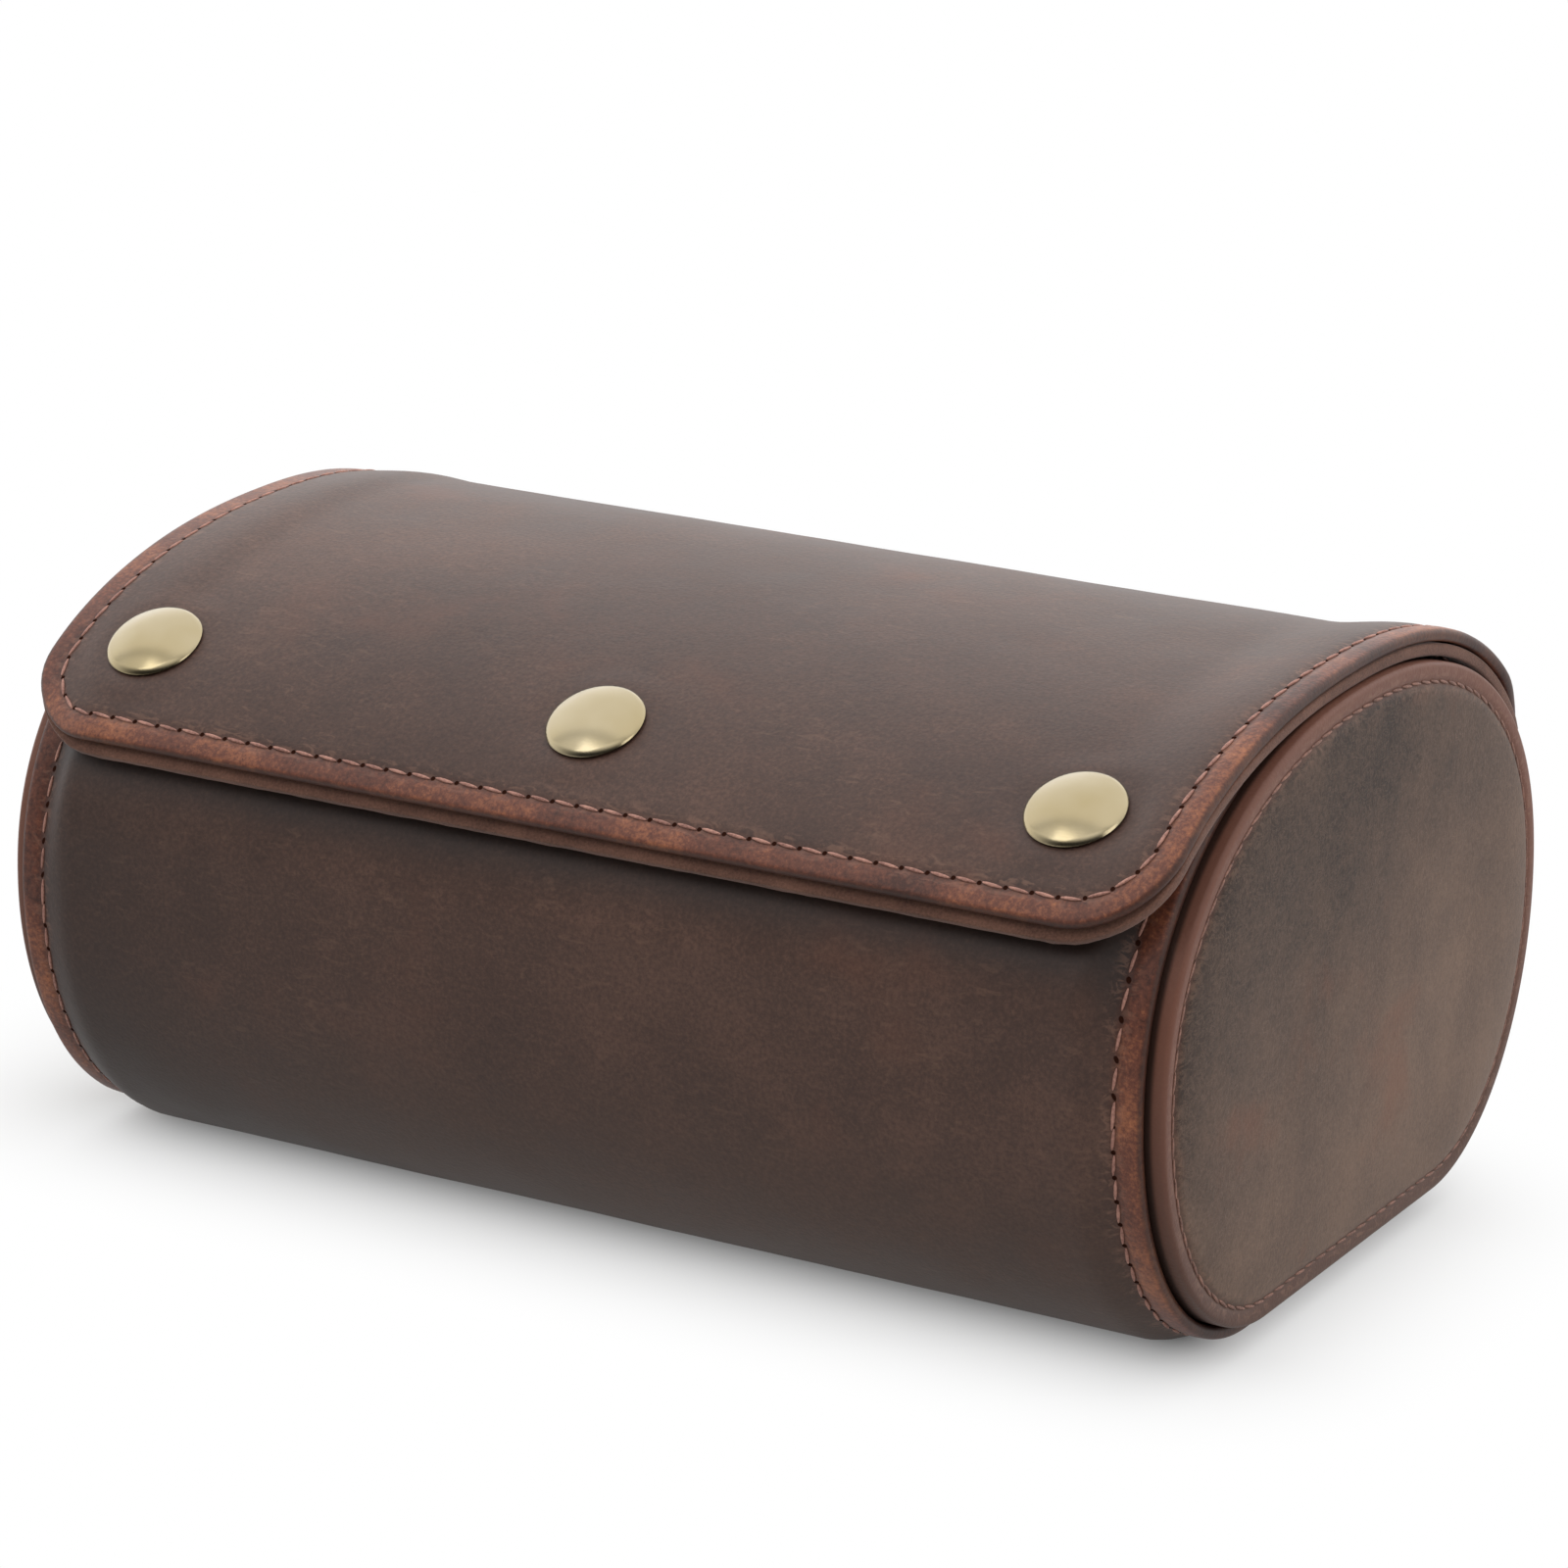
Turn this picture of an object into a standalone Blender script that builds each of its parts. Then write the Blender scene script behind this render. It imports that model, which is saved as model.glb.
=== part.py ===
# Leather watch roll for three watches, metres, +Z up, long side along X, front towards -Y.
# The origin is on the floor, in the middle of the roll.
import bmesh
import bpy
from math import acos, asin, cos, exp, pi, sin
from mathutils import Matrix, Vector

# Overall sizes
body_length = 0.1970        # over the rims of the two end panels
panel_width = 0.1240        # front to back, over the turned edge
panel_height = 0.0875
panel_flat = 0.0560         # straight part of the panel's lower edge
panel_belly = 0.0410        # height of the widest level over the panel's lower edge
crown_power = 2.2           # 2 is an ellipse, higher is squarer

# Materials' thicknesses and the clearances between pieces
leather_thick = 0.0019
lining_thick = 0.0005
board_thick = 0.0006
flap_lining_thick = 0.0019
fit = 0.0003                # gap kept between pieces that touch
seam_round = 0.0008         # rounding of a turned leather edge

# Wrap: front wall, bottom and back in one piece
rim_show = 0.0027           # of an end panel's rim, beside the wrap's side edge
wrap_bulge = 0.0019         # how much further out the wrap stands between the panels
wrap_shoulder = 0.0065      # length over which it draws in to a panel
mouth_back = 0.0286         # front wall's top edge, back from the panel's front
hinge_level = 0.0620        # back wall's top edge over the panel's lower edge
wall_level_rise = 0.0092    # between the panels the front wall stays upright this much higher
wall_power = 2.4

# Flap
flap_short = 0.0008         # the flap covers the rims but for this
flap_sag = 0.0020           # the crown lies lower between the panels
flap_shoulder = 0.0160
flap_end_out = 0.0084       # widest place of the arch beyond the panel's side, at the ends
flap_mid_out = 0.0098       # the same between the panels; the flap ends before it
flap_end_rise = 0.0123      # level of the arch's widest place over the panel's
flap_mid_rise = 0.0103
flap_mid_power = 2.2
flap_back_power = 2.3
lip_drop = 0.0190           # the flap's front edge under the panel's top
flap_corner = 0.0150        # radius of the front corners
lining_inset = 0.0005       # the lining stops short of the leather's side edges
lining_lead = 0.0008        # and stands out at the lip, where the flap is bent over it

# End panels, from the outside in
panel_leather = 0.0013
panel_foam = 0.0010         # foam at the border
panel_puff = 0.0012         # more foam in the middle
panel_board = 0.0020
panel_lining = 0.0008
panel_border = 0.0030       # edge to stitch line
border_dip = 0.0003         # the stitches pull the leather in

# Dividers
divider_thick = 0.0024
divider_top = 0.0560
divider_dip = 0.0070
divider_corner = 0.0100
divider_round = 0.0006

# Watch pillows
pillow_width = 0.0740
pillow_height = 0.0500
pillow_gap = 0.0022         # beside a pillow, to the divider or the panel
pillow_power = 2.5
pillow_skin = 0.0010
pillow_draw_share = 0.12    # how much narrower the ends are drawn in
pillow_puff = 0.0035        # how far in from its edge an end piece begins to crown
pillow_crown = 0.0105       # and where it is highest
pillow_seam = 0.0012        # seam allowance beyond the end piece

# Snaps
snap_inset = 0.0200         # an outer snap's middle, in from the roll's end
snap_back = 0.0106          # back from the panel's front, on the flap's outer face
cap_diameter = 0.0150
cap_rise = 0.0019
cap_rim = 0.0006
post_diameter = 0.0038
socket_diameter = 0.0115
socket_thick = 0.0018
socket_mouth = 0.0070
stud_diameter = 0.0110
stud_thick = 0.0006
button_base = 0.0062
button_top = 0.0034
button_rise = 0.0012
button_hollow = 0.0017
eyelet_diameter = 0.0110
eyelet_thick = 0.0007
eyelet_sag = 0.0005         # the flat eyelet bridges the hollow of the wall
snap_gap = 0.0028           # between wall and flap, for the socket and the stud
snap_sink = 0.0003          # how deep a seat is pressed into the leather
cut_overrun = 0.0040

# Shares of the sizes above
puff_steepness = 4.0
puff_reach_share = 0.8      # of the half flat: where the puffed face is highest
puff_step_shares = (0.06, 0.18, 0.42, 1.0)
crease_share = 0.8          # of the border: where the stitches begin to pull the leather in
band_place_shares = (1.0, 0.8, 0.3)
core_place_shares = (-1.0, -0.4, 0.4, 1.0)
dome_step_shares = (0.96, 0.78, 0.5, 0.2)
post_reach_share = 0.33     # of the socket: how far the cap's post is pressed into it

# Steps along the curves
foot_steps = 5
arch_steps = 20
wall_steps = 11
flap_steps = 24
corner_steps = 4
shoulder_steps = 3
ring_steps = 20
button_steps = 16

# What follows from the sizes above
panel_half = panel_width / 2
wrap_length = body_length - 2 * rim_show
flap_length = body_length - 2 * flap_short
snap_spacing = body_length / 2 - snap_inset
lap_out = fit + leather_thick
body_out = lap_out + wrap_bulge
base = body_out                     # the wrap's outer bottom face is the floor
panel_rise = panel_height - panel_belly
flap_thick = leather_thick + fit + flap_lining_thick
wall_thick = leather_thick + fit + board_thick + fit + lining_thick
flap_end_half = panel_half + flap_end_out
flap_mid_half = panel_half + flap_mid_out
mouth_front = panel_half - mouth_back
snap_reach = panel_half - snap_back
lip_level = panel_height - lip_drop
flap_end_level = panel_belly + flap_end_rise
flap_mid_level = panel_belly + flap_mid_rise
end_crown = panel_height + fit + flap_thick
mid_crown = end_crown - flap_sag
panel_depth = panel_leather + fit + panel_foam + fit + panel_board + fit + panel_lining
panel_inner = body_length / 2 - panel_depth
lining_inside = wall_thick - body_out         # inset of the lining's inner face from the panel's outline
chamber = (2 * panel_inner - 2 * divider_thick - 4 * fit) / 3
divider_place = chamber / 2 + fit + divider_thick / 2
chamber_place = chamber + 2 * fit + divider_thick
pillow_length = chamber - 2 * pillow_gap


def side_of(value):
    return -1.0 if value < 0 else 1.0


def arch(half, level, rise, power, angle):
    # point and outward normal of an arched outline, the angle runs from +Y over the top to -Y
    c = cos(angle)
    s = max(sin(angle), 0)
    place = Vector((0, half * side_of(c) * abs(c) ** (2 / power), level + rise * s ** (2 / power)))
    normal = Vector((0, side_of(c) * abs(c) ** (2 - 2 / power) / half, s ** (2 - 2 / power) / rise))
    return place, normal.normalized()


def angle_at_side(half, power, reach):
    # angle of the arch's point that lies reach in front of the middle
    return pi - acos((reach / half) ** (power / 2))


def angle_at_level(level, rise, power, height):
    # angle of the arch's back point at a height
    return asin(((height - level) / rise) ** (power / 2))


def panel_arch(start, end, count):
    return [arch(panel_half, panel_belly, panel_rise, crown_power, a) for a in steps(start, end, count)]


def foot(side, angle):
    # lower corner of the panel, from the flat (0) up to the widest level (a quarter turn)
    run = panel_half - panel_flat / 2
    place = Vector((0, side * (panel_flat / 2 + run * sin(angle)), panel_belly * (1 - cos(angle))))
    normal = Vector((0, side * sin(angle) / run, -cos(angle) / panel_belly))
    return place, normal.normalized()


def steps(start, end, count):
    return [start + (end - start) * i / count for i in range(count + 1)]


def feet():
    # the way along the bottom, from the front's widest level to the back's, without these two
    front = [foot(-1, a) for a in steps(pi / 2, 0, foot_steps)[1:]]
    back = [foot(1, a) for a in steps(0, pi / 2, foot_steps)[:-1]]
    return front + back


def panel_outline():
    return panel_arch(0, pi, arch_steps) + feet()


def mix(a, b, share):
    return a.lerp(b, share)


def ease(share):
    share = min(max(share, 0), 1)
    return share * share * (3 - 2 * share)


# Wrap and flap surfaces: one outline over the panels and one between them, eased into each other

def wrap_end_line():
    start = angle_at_side(panel_half, crown_power, mouth_front)
    stop = angle_at_level(panel_belly, panel_rise, crown_power, hinge_level)
    front = panel_arch(start, pi, wall_steps)
    back = panel_arch(0, stop, wall_steps // 2)
    return [(p + n * lap_out, n) for p, n in front + feet() + back]


def arch_rise(half, level, power, place):
    # rise of the arch that goes through a place
    return (place.z - level) / (1 - (-place.y / half) ** power) ** (1 / power)


snap_angle = angle_at_side(flap_mid_half, flap_mid_power, snap_reach)
snap_place, snap_normal = arch(flap_mid_half, flap_mid_level, mid_crown - flap_mid_level, flap_mid_power, snap_angle)
wall_half = panel_half + body_out
wall_level = panel_belly + wall_level_rise
wall_under_snap = snap_place - snap_normal * (flap_thick + snap_gap)
wall_rise = arch_rise(wall_half, wall_level, wall_power, wall_under_snap)


def wrap_mid_line():
    start = angle_at_side(wall_half, wall_power, mouth_front)
    stop = angle_at_level(panel_belly, panel_rise, crown_power, hinge_level)
    turns = steps(start, pi, wall_steps - 1)
    front = [arch(wall_half, wall_level, wall_rise, wall_power, a) for a in turns]
    front.append((Vector((0, -wall_half, panel_belly)), Vector((0, -1, 0))))
    back = panel_arch(0, stop, wall_steps // 2)
    return front + [(p + n * body_out, n) for p, n in feet() + back]


hinge_point, hinge_normal = wrap_mid_line()[-1]
hinge_axis = Vector((0, hinge_point.y, hinge_point.z + base))


def flap_point(front_half, level, crown, power, angle):
    # in front of the top the arch has its own half and level, behind it runs down to the hinge
    if angle >= pi / 2:
        return arch(front_half, level, crown - level, power, angle)
    rise = crown - panel_belly
    share = ((hinge_point.z - panel_belly) / rise) ** flap_back_power
    half = hinge_point.y / (1 - share) ** (1 / flap_back_power)
    return arch(half, panel_belly, rise, flap_back_power, angle)


def flap_end_point(angle):
    return flap_point(flap_end_half, flap_end_level, end_crown, crown_power, angle)


def flap_mid_point(angle):
    return flap_point(flap_mid_half, flap_mid_level, mid_crown, flap_mid_power, angle)


def flap_line(point_at, level, crown, power):
    # from the hinge over the top to the lip
    start = angle_at_level(panel_belly, crown - panel_belly, flap_back_power, hinge_point.z)
    stop = pi - angle_at_level(level, crown - level, power, lip_level)
    return [point_at(a) for a in steps(start, stop, 4 * flap_steps)]


def line_between(end_line, mid_line, share):
    line = []
    for (p, n), (q, m) in zip(end_line, mid_line):
        line.append((mix(p, q, share), mix(n, m, share).normalized()))
    return line


def stations(half, shoulder):
    # places along X: the edge, the panel's inner face, the shoulder, and the same on the other side
    inner = min(half, panel_inner)
    right = [inner - shoulder * i / shoulder_steps for i in range(shoulder_steps + 1)]
    if half > inner:
        right.insert(0, half)
    return [-x for x in right] + right[::-1]


def sheet_rows(end_line, mid_line, half, shoulder, depth):
    # one row of points for each station, depth below the outer face
    rows = []
    for x in stations(half, shoulder):
        share = ease((panel_inner - abs(x)) / shoulder)
        line = line_between(end_line, mid_line, share)
        rows.append([Vector((x, p.y - n.y * depth, p.z - n.z * depth + base)) for p, n in line])
    return rows


# Mesh and object helpers

def material(name, colour, roughness, metallic=0.0):
    made = bpy.data.materials.new(name)
    made.use_nodes = True
    shader = made.node_tree.nodes["Principled BSDF"]
    shader.inputs["Base Color"].default_value = (*colour, 1)
    shader.inputs["Roughness"].default_value = roughness
    shader.inputs["Metallic"].default_value = metallic
    made.diffuse_color = (*colour, 1)
    return made


def finish_object(name, bm, finish, parent=None, smooth_angle=pi / 5):
    bmesh.ops.remove_doubles(bm, verts=bm.verts[:], dist=fit / 100)
    bmesh.ops.recalc_face_normals(bm, faces=bm.faces[:])
    mesh = bpy.data.meshes.new(name)
    bm.to_mesh(mesh)
    bm.free()
    if parent:
        mesh.transform(Matrix.Translation(-parent.location))
    mesh.shade_smooth()
    mesh.set_sharp_from_angle(angle=smooth_angle)
    if finish:
        mesh.materials.append(finish)
    made = bpy.data.objects.new(name, mesh)
    made.parent = parent
    bpy.context.scene.collection.objects.link(made)
    return made


def axis_empty(name, place):
    made = bpy.data.objects.new(name, None)
    made.location = place
    bpy.context.scene.collection.objects.link(made)
    return made


def shell(name, outer, inner, finish, parent=None):
    # closed sheet between two grids of points that match row by row
    bm = bmesh.new()
    tops = [[bm.verts.new(p) for p in row] for row in outer]
    lows = [[bm.verts.new(p) for p in row] for row in inner]
    last_row = len(outer) - 1
    last = len(outer[0]) - 1
    for i in range(last_row):
        for j in range(last):
            bm.faces.new((tops[i][j], tops[i][j + 1], tops[i + 1][j + 1], tops[i + 1][j]))
            bm.faces.new((lows[i][j], lows[i + 1][j], lows[i + 1][j + 1], lows[i][j + 1]))
    for i in range(last_row):
        for j in (0, last):
            bm.faces.new((tops[i][j], tops[i + 1][j], lows[i + 1][j], lows[i][j]))
    for j in range(last):
        for i in (0, last_row):
            bm.faces.new((tops[i][j], tops[i][j + 1], lows[i][j + 1], lows[i][j]))
    return finish_object(name, bm, finish, parent)


def loft(name, rings, finish, parent=None, smooth_angle=pi / 5):
    # closed body through rings of equally many points, with a fan at each end
    bm = bmesh.new()
    loops = [[bm.verts.new(p) for p in ring] for ring in rings]
    count = len(rings[0])
    bridge_rings(bm, loops, False)
    for loop in (loops[0], loops[-1]):
        middle = bm.verts.new(sum((v.co for v in loop), Vector()) / count)
        for i in range(count):
            bm.faces.new((loop[i], loop[(i + 1) % count], middle))
    return finish_object(name, bm, finish, parent, smooth_angle)


def round_edges(target, width, segments=2):
    bevel = target.modifiers.new("turned edge", "BEVEL")
    bevel.width = width
    bevel.segments = segments
    bevel.limit_method = "ANGLE"
    bevel.angle_limit = pi / 4


def circle(frame, radius, height, count):
    turns = [2 * pi * i / count for i in range(count)]
    return [frame @ Vector((radius * cos(a), radius * sin(a), height)) for a in turns]


def bridge_rings(bm, loops, closed):
    count = len(loops[0])
    pairs = zip(loops, loops[1:] + loops[:1]) if closed else zip(loops, loops[1:])
    for a, b in pairs:
        for i in range(count):
            k = (i + 1) % count
            bm.faces.new((a[i], a[k], b[k], b[i]))


def turned(name, frame, profile, finish, count, parent=None):
    # turned piece: pairs of radius and height along its outside, with a flat at both ends
    return loft(name, [circle(frame, radius, height, count) for radius, height in profile], finish, parent)


def turned_ring(name, frame, profile, finish, count, parent=None):
    # turned piece with a bore: the profile closes on itself
    bm = bmesh.new()
    rings = [circle(frame, radius, height, count) for radius, height in profile]
    bridge_rings(bm, [[bm.verts.new(p) for p in ring] for ring in rings], True)
    return finish_object(name, bm, finish, parent)


def cutter(name, frames, profile):
    # the same stepped tool at each of the frames, as one object
    bm = bmesh.new()
    for frame in frames:
        rings = [circle(frame, radius, height, button_steps) for radius, height in profile]
        loops = [[bm.verts.new(p) for p in ring] for ring in rings]
        bridge_rings(bm, loops, False)
        for loop in (loops[0], loops[-1]):
            bm.faces.new(loop)
    made = finish_object(name, bm, None)
    made.hide_render = True
    made.display_type = "WIRE"
    return made


def cut(target, tool):
    boolean = target.modifiers.new(tool.name, "BOOLEAN")
    boolean.operation = "DIFFERENCE"
    boolean.solver = "EXACT"
    boolean.object = tool


# Wrap

def make_wrap(leather, board, suede):
    end_line = wrap_end_line()
    mid_line = wrap_mid_line()
    inside = panel_inner - fit

    def layer(name, half, depth, thick, finish):
        outer = sheet_rows(end_line, mid_line, half, wrap_shoulder, depth)
        inner = sheet_rows(end_line, mid_line, half, wrap_shoulder, depth + thick)
        return shell(name, outer, inner, finish)

    skin = layer("wrap_leather", wrap_length / 2, 0, leather_thick, leather)
    round_edges(skin, seam_round)
    depth = leather_thick + fit
    stiffener = layer("wrap_board", inside, depth, board_thick, board)
    depth += board_thick + fit
    lining = layer("wrap_lining", inside, depth, lining_thick, suede)
    return skin, stiffener, lining


# Flap

def corner_inset(to_lip):
    # how far the rounded front corner draws the side edge in
    if to_lip >= flap_corner:
        return 0
    return flap_corner - (flap_corner ** 2 - (flap_corner - to_lip) ** 2) ** 0.5


def ways_to_lip(line):
    # way along a line from each of its points to the lip
    ways = [0.0]
    for (p, n), (q, m) in zip(line[::-1], line[-2::-1]):
        ways.append(ways[-1] + (q - p).length)
    return ways[::-1]


def resampled(line, wanted_ways):
    ways = ways_to_lip(line)
    picked = []
    for wanted in wanted_ways:
        k = min(max(j for j, way in enumerate(ways) if way >= wanted), len(ways) - 2)
        share = (ways[k] - wanted) / (ways[k] - ways[k + 1])
        (p, n), (q, m) = line[k], line[k + 1]
        picked.append((mix(p, q, share), mix(n, m, share).normalized()))
    return picked


def flap_ways(line):
    # even steps from the hinge to the rounded corner, then closer ones round it
    start = ways_to_lip(line)[0] - fit
    corner = [flap_corner * (1 - sin(a)) for a in steps(0, pi / 2, corner_steps)]
    return steps(start, flap_corner, flap_steps)[:-1] + corner


def flap_rows(depth, inset, lead):
    end_line = flap_line(flap_end_point, flap_end_level, end_crown, crown_power)
    mid_line = flap_line(flap_mid_point, flap_mid_level, mid_crown, flap_mid_power)
    ways = flap_ways(mid_line)
    end_line = resampled(end_line, flap_ways(end_line))
    mid_line = resampled(mid_line, ways)
    edge = flap_length / 2
    rows = []
    for station in stations(edge, flap_shoulder):
        row = []
        for (p, n), (q, m), way in zip(end_line, mid_line, ways):
            x = station * (1 - corner_inset(way) / edge)
            if abs(station) == edge:
                x -= side_of(x) * inset
            share = ease((panel_inner - abs(x)) / flap_shoulder)
            point = mix(p, q, share) - mix(n, m, share).normalized() * depth
            row.append(Vector((x, point.y, point.z + base)))
        row[-1] += (row[-1] - row[-2]).normalized() * lead
        rows.append(row)
    return rows


def make_flap(leather, suede, hinge):
    outer = flap_rows(0, 0, 0)
    inner = flap_rows(leather_thick, 0, 0)
    skin = shell("flap_leather", outer, inner, leather, hinge)
    round_edges(skin, seam_round)
    depth = leather_thick + fit
    outer = flap_rows(depth, lining_inset, lining_lead)
    inner = flap_rows(depth + flap_lining_thick, lining_inset, lining_lead)
    lining = shell("flap_lining", outer, inner, suede, hinge)
    return skin, lining


# End panels

def panel_ring(side, inset, x):
    return [Vector((side * x, p.y - n.y * inset, p.z - n.z * inset + base)) for p, n in panel_outline()]


def puff_profile():
    # inset from the edge and height over the border plane, from the stitch line to the middle
    deepest = panel_flat / 2 * puff_reach_share
    rows = []
    for share in puff_step_shares:
        inset = panel_border + (deepest - panel_border) * share
        rows.append((inset, panel_puff * (1 - exp(-puff_steepness * share))))
    return rows


def make_panel(side, word, leather, foam, board, suede):
    face = body_length / 2
    puffed = puff_profile()
    outside = [(0, panel_inner), (0, face - seam_round), (seam_round / 3, face - seam_round / 3)]
    outside += [(seam_round, face), (panel_border * crease_share, face), (panel_border, face - border_dip)]
    outside += [(inset, face + height) for inset, height in puffed]
    back = face - panel_leather
    inside = [(panel_leather, panel_inner), (panel_leather, back), (panel_border, back)]
    inside += [(inset, back + height) for inset, height in puffed]
    rings = [panel_ring(side, *row) for row in inside[::-1] + outside]
    loft("end_leather_" + word, rings, leather)

    edge = panel_leather + fit
    top = back - fit
    low = top - panel_foam
    lens = [(edge, low), (edge, top), (panel_border, top)]
    lens += [(inset, top + height) for inset, height in puffed]
    loft("end_foam_" + word, [panel_ring(side, *row) for row in lens], foam)
    low -= fit
    plate = [(edge, low - panel_board), (edge, low)]
    loft("end_board_" + word, [panel_ring(side, *row) for row in plate], board)
    low -= panel_board + fit
    plate = [(edge, low - panel_lining), (edge, low)]
    loft("end_lining_" + word, [panel_ring(side, *row) for row in plate], suede)


# Dividers

def divider_outline():
    # inside of the lining, less the clearance, up to the divider's top
    inset = lining_inside + fit
    stop = angle_at_level(panel_belly, panel_rise, crown_power, divider_top - divider_corner)
    back = panel_arch(0, stop, corner_steps)
    side = [(p.y - n.y * inset, p.z - n.z * inset) for p, n in back]
    y, z = side[-1]
    for a in steps(0, pi / 2, corner_steps)[1:]:
        side.append((y - divider_corner * (1 - cos(a)), z + (divider_top - z) * sin(a)))
    top_y = side[-1][0]
    count = 2 * corner_steps
    top = []
    for i in range(1, count):
        share = 2 * i / count - 1
        top.append((-share * top_y, divider_top - divider_dip * cos(share * pi / 2) ** 2))
    low = [(p.y - n.y * inset, p.z - n.z * inset) for p, n in feet()]
    mirrored = [(-y, z) for y, z in side[::-1]]
    return side + top + mirrored + low


def make_divider(word, x, suede):
    rings = []
    for place in (x - divider_thick / 2, x + divider_thick / 2):
        rings.append([Vector((place, y, z + base)) for y, z in divider_outline()])
    made = loft("divider_" + word, rings, suede)
    round_edges(made, divider_round, 1)


# Pillows

def pillow_ring(middle, x, inset):
    # inset from the outer skin, drawn in towards the ends
    share = abs(x) / (pillow_length / 2)
    draw = 1 - pillow_draw_share * share ** 3
    half = pillow_width / 2 * draw - inset
    rise = pillow_height / 2 * draw - inset
    ring = []
    for i in range(ring_steps):
        a = 2 * pi * i / ring_steps
        c, s = cos(a), sin(a)
        y = half * side_of(c) * abs(c) ** (2 / pillow_power)
        z = rise * side_of(s) * abs(s) ** (2 / pillow_power)
        ring.append(middle + Vector((x, y, z)))
    return ring


def make_pillow(word, x, suede, foam):
    middle = Vector((x, 0, base + lining_inside + fit + pillow_height / 2))
    axis = axis_empty("pillow_axis_" + word, middle)
    half = pillow_length / 2
    places = [half * s for s in band_place_shares]
    places = [-p for p in places] + places[::-1]
    bm = bmesh.new()
    loops = []
    for inset in (0, pillow_skin):
        loops.append([[bm.verts.new(p) for p in pillow_ring(middle, place, inset)] for place in places])
    outer, inner = loops
    bridge_rings(bm, outer + inner[::-1], True)
    finish_object("pillow_band_" + word, bm, suede, axis)

    inset = pillow_skin + fit
    for side, mark in ((-1, "a"), (1, "b")):
        rings = []
        base_x = half - pillow_seam
        for more, x_place in ((0, base_x - pillow_skin), (0, base_x), (pillow_puff, base_x + pillow_skin)):
            rings.append(pillow_ring(middle, side * x_place, inset + more))
        rings.append(pillow_ring(middle, side * (base_x + pillow_seam), inset + pillow_crown))
        loft("pillow_end_" + word + "_" + mark, rings, suede, axis)
    reach = half - pillow_seam - pillow_skin - fit
    rings = [pillow_ring(middle, reach * s, inset) for s in core_place_shares]
    loft("pillow_core_" + word, rings, foam, axis)


# Snaps

def snap_frame(x, place, normal):
    # local +Z along the snap's axis, outwards
    along = Vector((1, 0, 0))
    rotation = Matrix((along, normal.cross(along), normal)).transposed().to_4x4()
    return Matrix.Translation(Vector((x, place.y, place.z + base))) @ rotation


# heights along a snap's axis, from the flap's outer face
wall_face = -flap_thick - snap_gap
wall_back = wall_face - wall_thick
cap_seat = -snap_sink
socket_seat = snap_sink - flap_thick
stud_seat = wall_face - snap_sink
post = post_diameter / 2
bore = post + fit


def make_cap(word, frame, brass, hinge):
    low = cap_seat + fit
    radius = cap_diameter / 2
    end = socket_seat - fit - socket_thick * post_reach_share
    profile = [(post, end), (post, low), (radius - cap_rim, low), (radius, low + cap_rim / 2)]
    for share in dome_step_shares:
        profile.append((radius * share, low + cap_rim + cap_rise * (1 - share ** 2)))
    turned("snap_cap_" + word, frame, profile, brass, ring_steps, hinge)


def make_socket(word, frame, brass, hinge):
    top = socket_seat - fit
    low = top - socket_thick
    outer = socket_diameter / 2
    profile = [(bore, top), (outer - cap_rim, top), (outer, top - cap_rim), (outer, low + cap_rim)]
    profile += [(outer - cap_rim, low), (socket_mouth / 2, low), (bore, top - socket_thick / 2)]
    turned_ring("snap_socket_" + word, frame, profile, brass, button_steps, hinge)


def make_stud(word, frame, brass):
    low = stud_seat + fit
    top = low + stud_thick
    outer = stud_diameter / 2
    hollow = button_hollow / 2
    profile = [(bore, low), (outer, low), (outer, top - cap_rim / 2), (outer - cap_rim / 2, top)]
    profile += [(button_base / 2, top), (button_top / 2, top + button_rise), (hollow, top + button_rise)]
    profile += [(hollow, top), (bore, top - stud_thick / 2)]
    turned_ring("snap_stud_" + word, frame, profile, brass, button_steps)


def make_eyelet(word, frame, steel):
    top = wall_back - eyelet_sag - fit
    low = top - eyelet_thick
    outer = eyelet_diameter / 2
    profile = [(outer - cap_rim / 2, low), (outer, low + cap_rim / 2), (outer, top), (post, top)]
    profile.append((post, stud_seat + fit))
    turned("snap_eyelet_" + word, frame, profile, steel, button_steps)


def make_snaps(brass, steel, hinge, flap_parts, wall_parts):
    frames = []
    for turn, word in ((-1, "left"), (0, "middle"), (1, "right")):
        frame = snap_frame(turn * snap_spacing, snap_place, snap_normal)
        frames.append(frame)
        make_cap(word, frame, brass, hinge)
        make_socket(word, frame, brass, hinge)
        make_stud(word, frame, brass)
        make_eyelet(word, frame, steel)
    cap_hole = cap_diameter / 2 + fit
    socket_hole = socket_diameter / 2 + fit
    tool = cutter("flap_snap_holes", frames, [
        (cap_hole, cut_overrun), (cap_hole, cap_seat), (bore, cap_seat), (bore, socket_seat),
        (socket_hole, socket_seat), (socket_hole, socket_seat - cut_overrun)])
    for piece in flap_parts:
        cut(piece, tool)
    stud_hole = stud_diameter / 2 + fit
    tool = cutter("wall_snap_holes", frames, [
        (stud_hole, wall_face + cut_overrun), (stud_hole, stud_seat), (bore, stud_seat),
        (bore, wall_back - cut_overrun)])
    for piece in wall_parts:
        cut(piece, tool)


def clear_scene():
    for old in list(bpy.data.objects):
        bpy.data.objects.remove(old, do_unlink=True)


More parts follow.
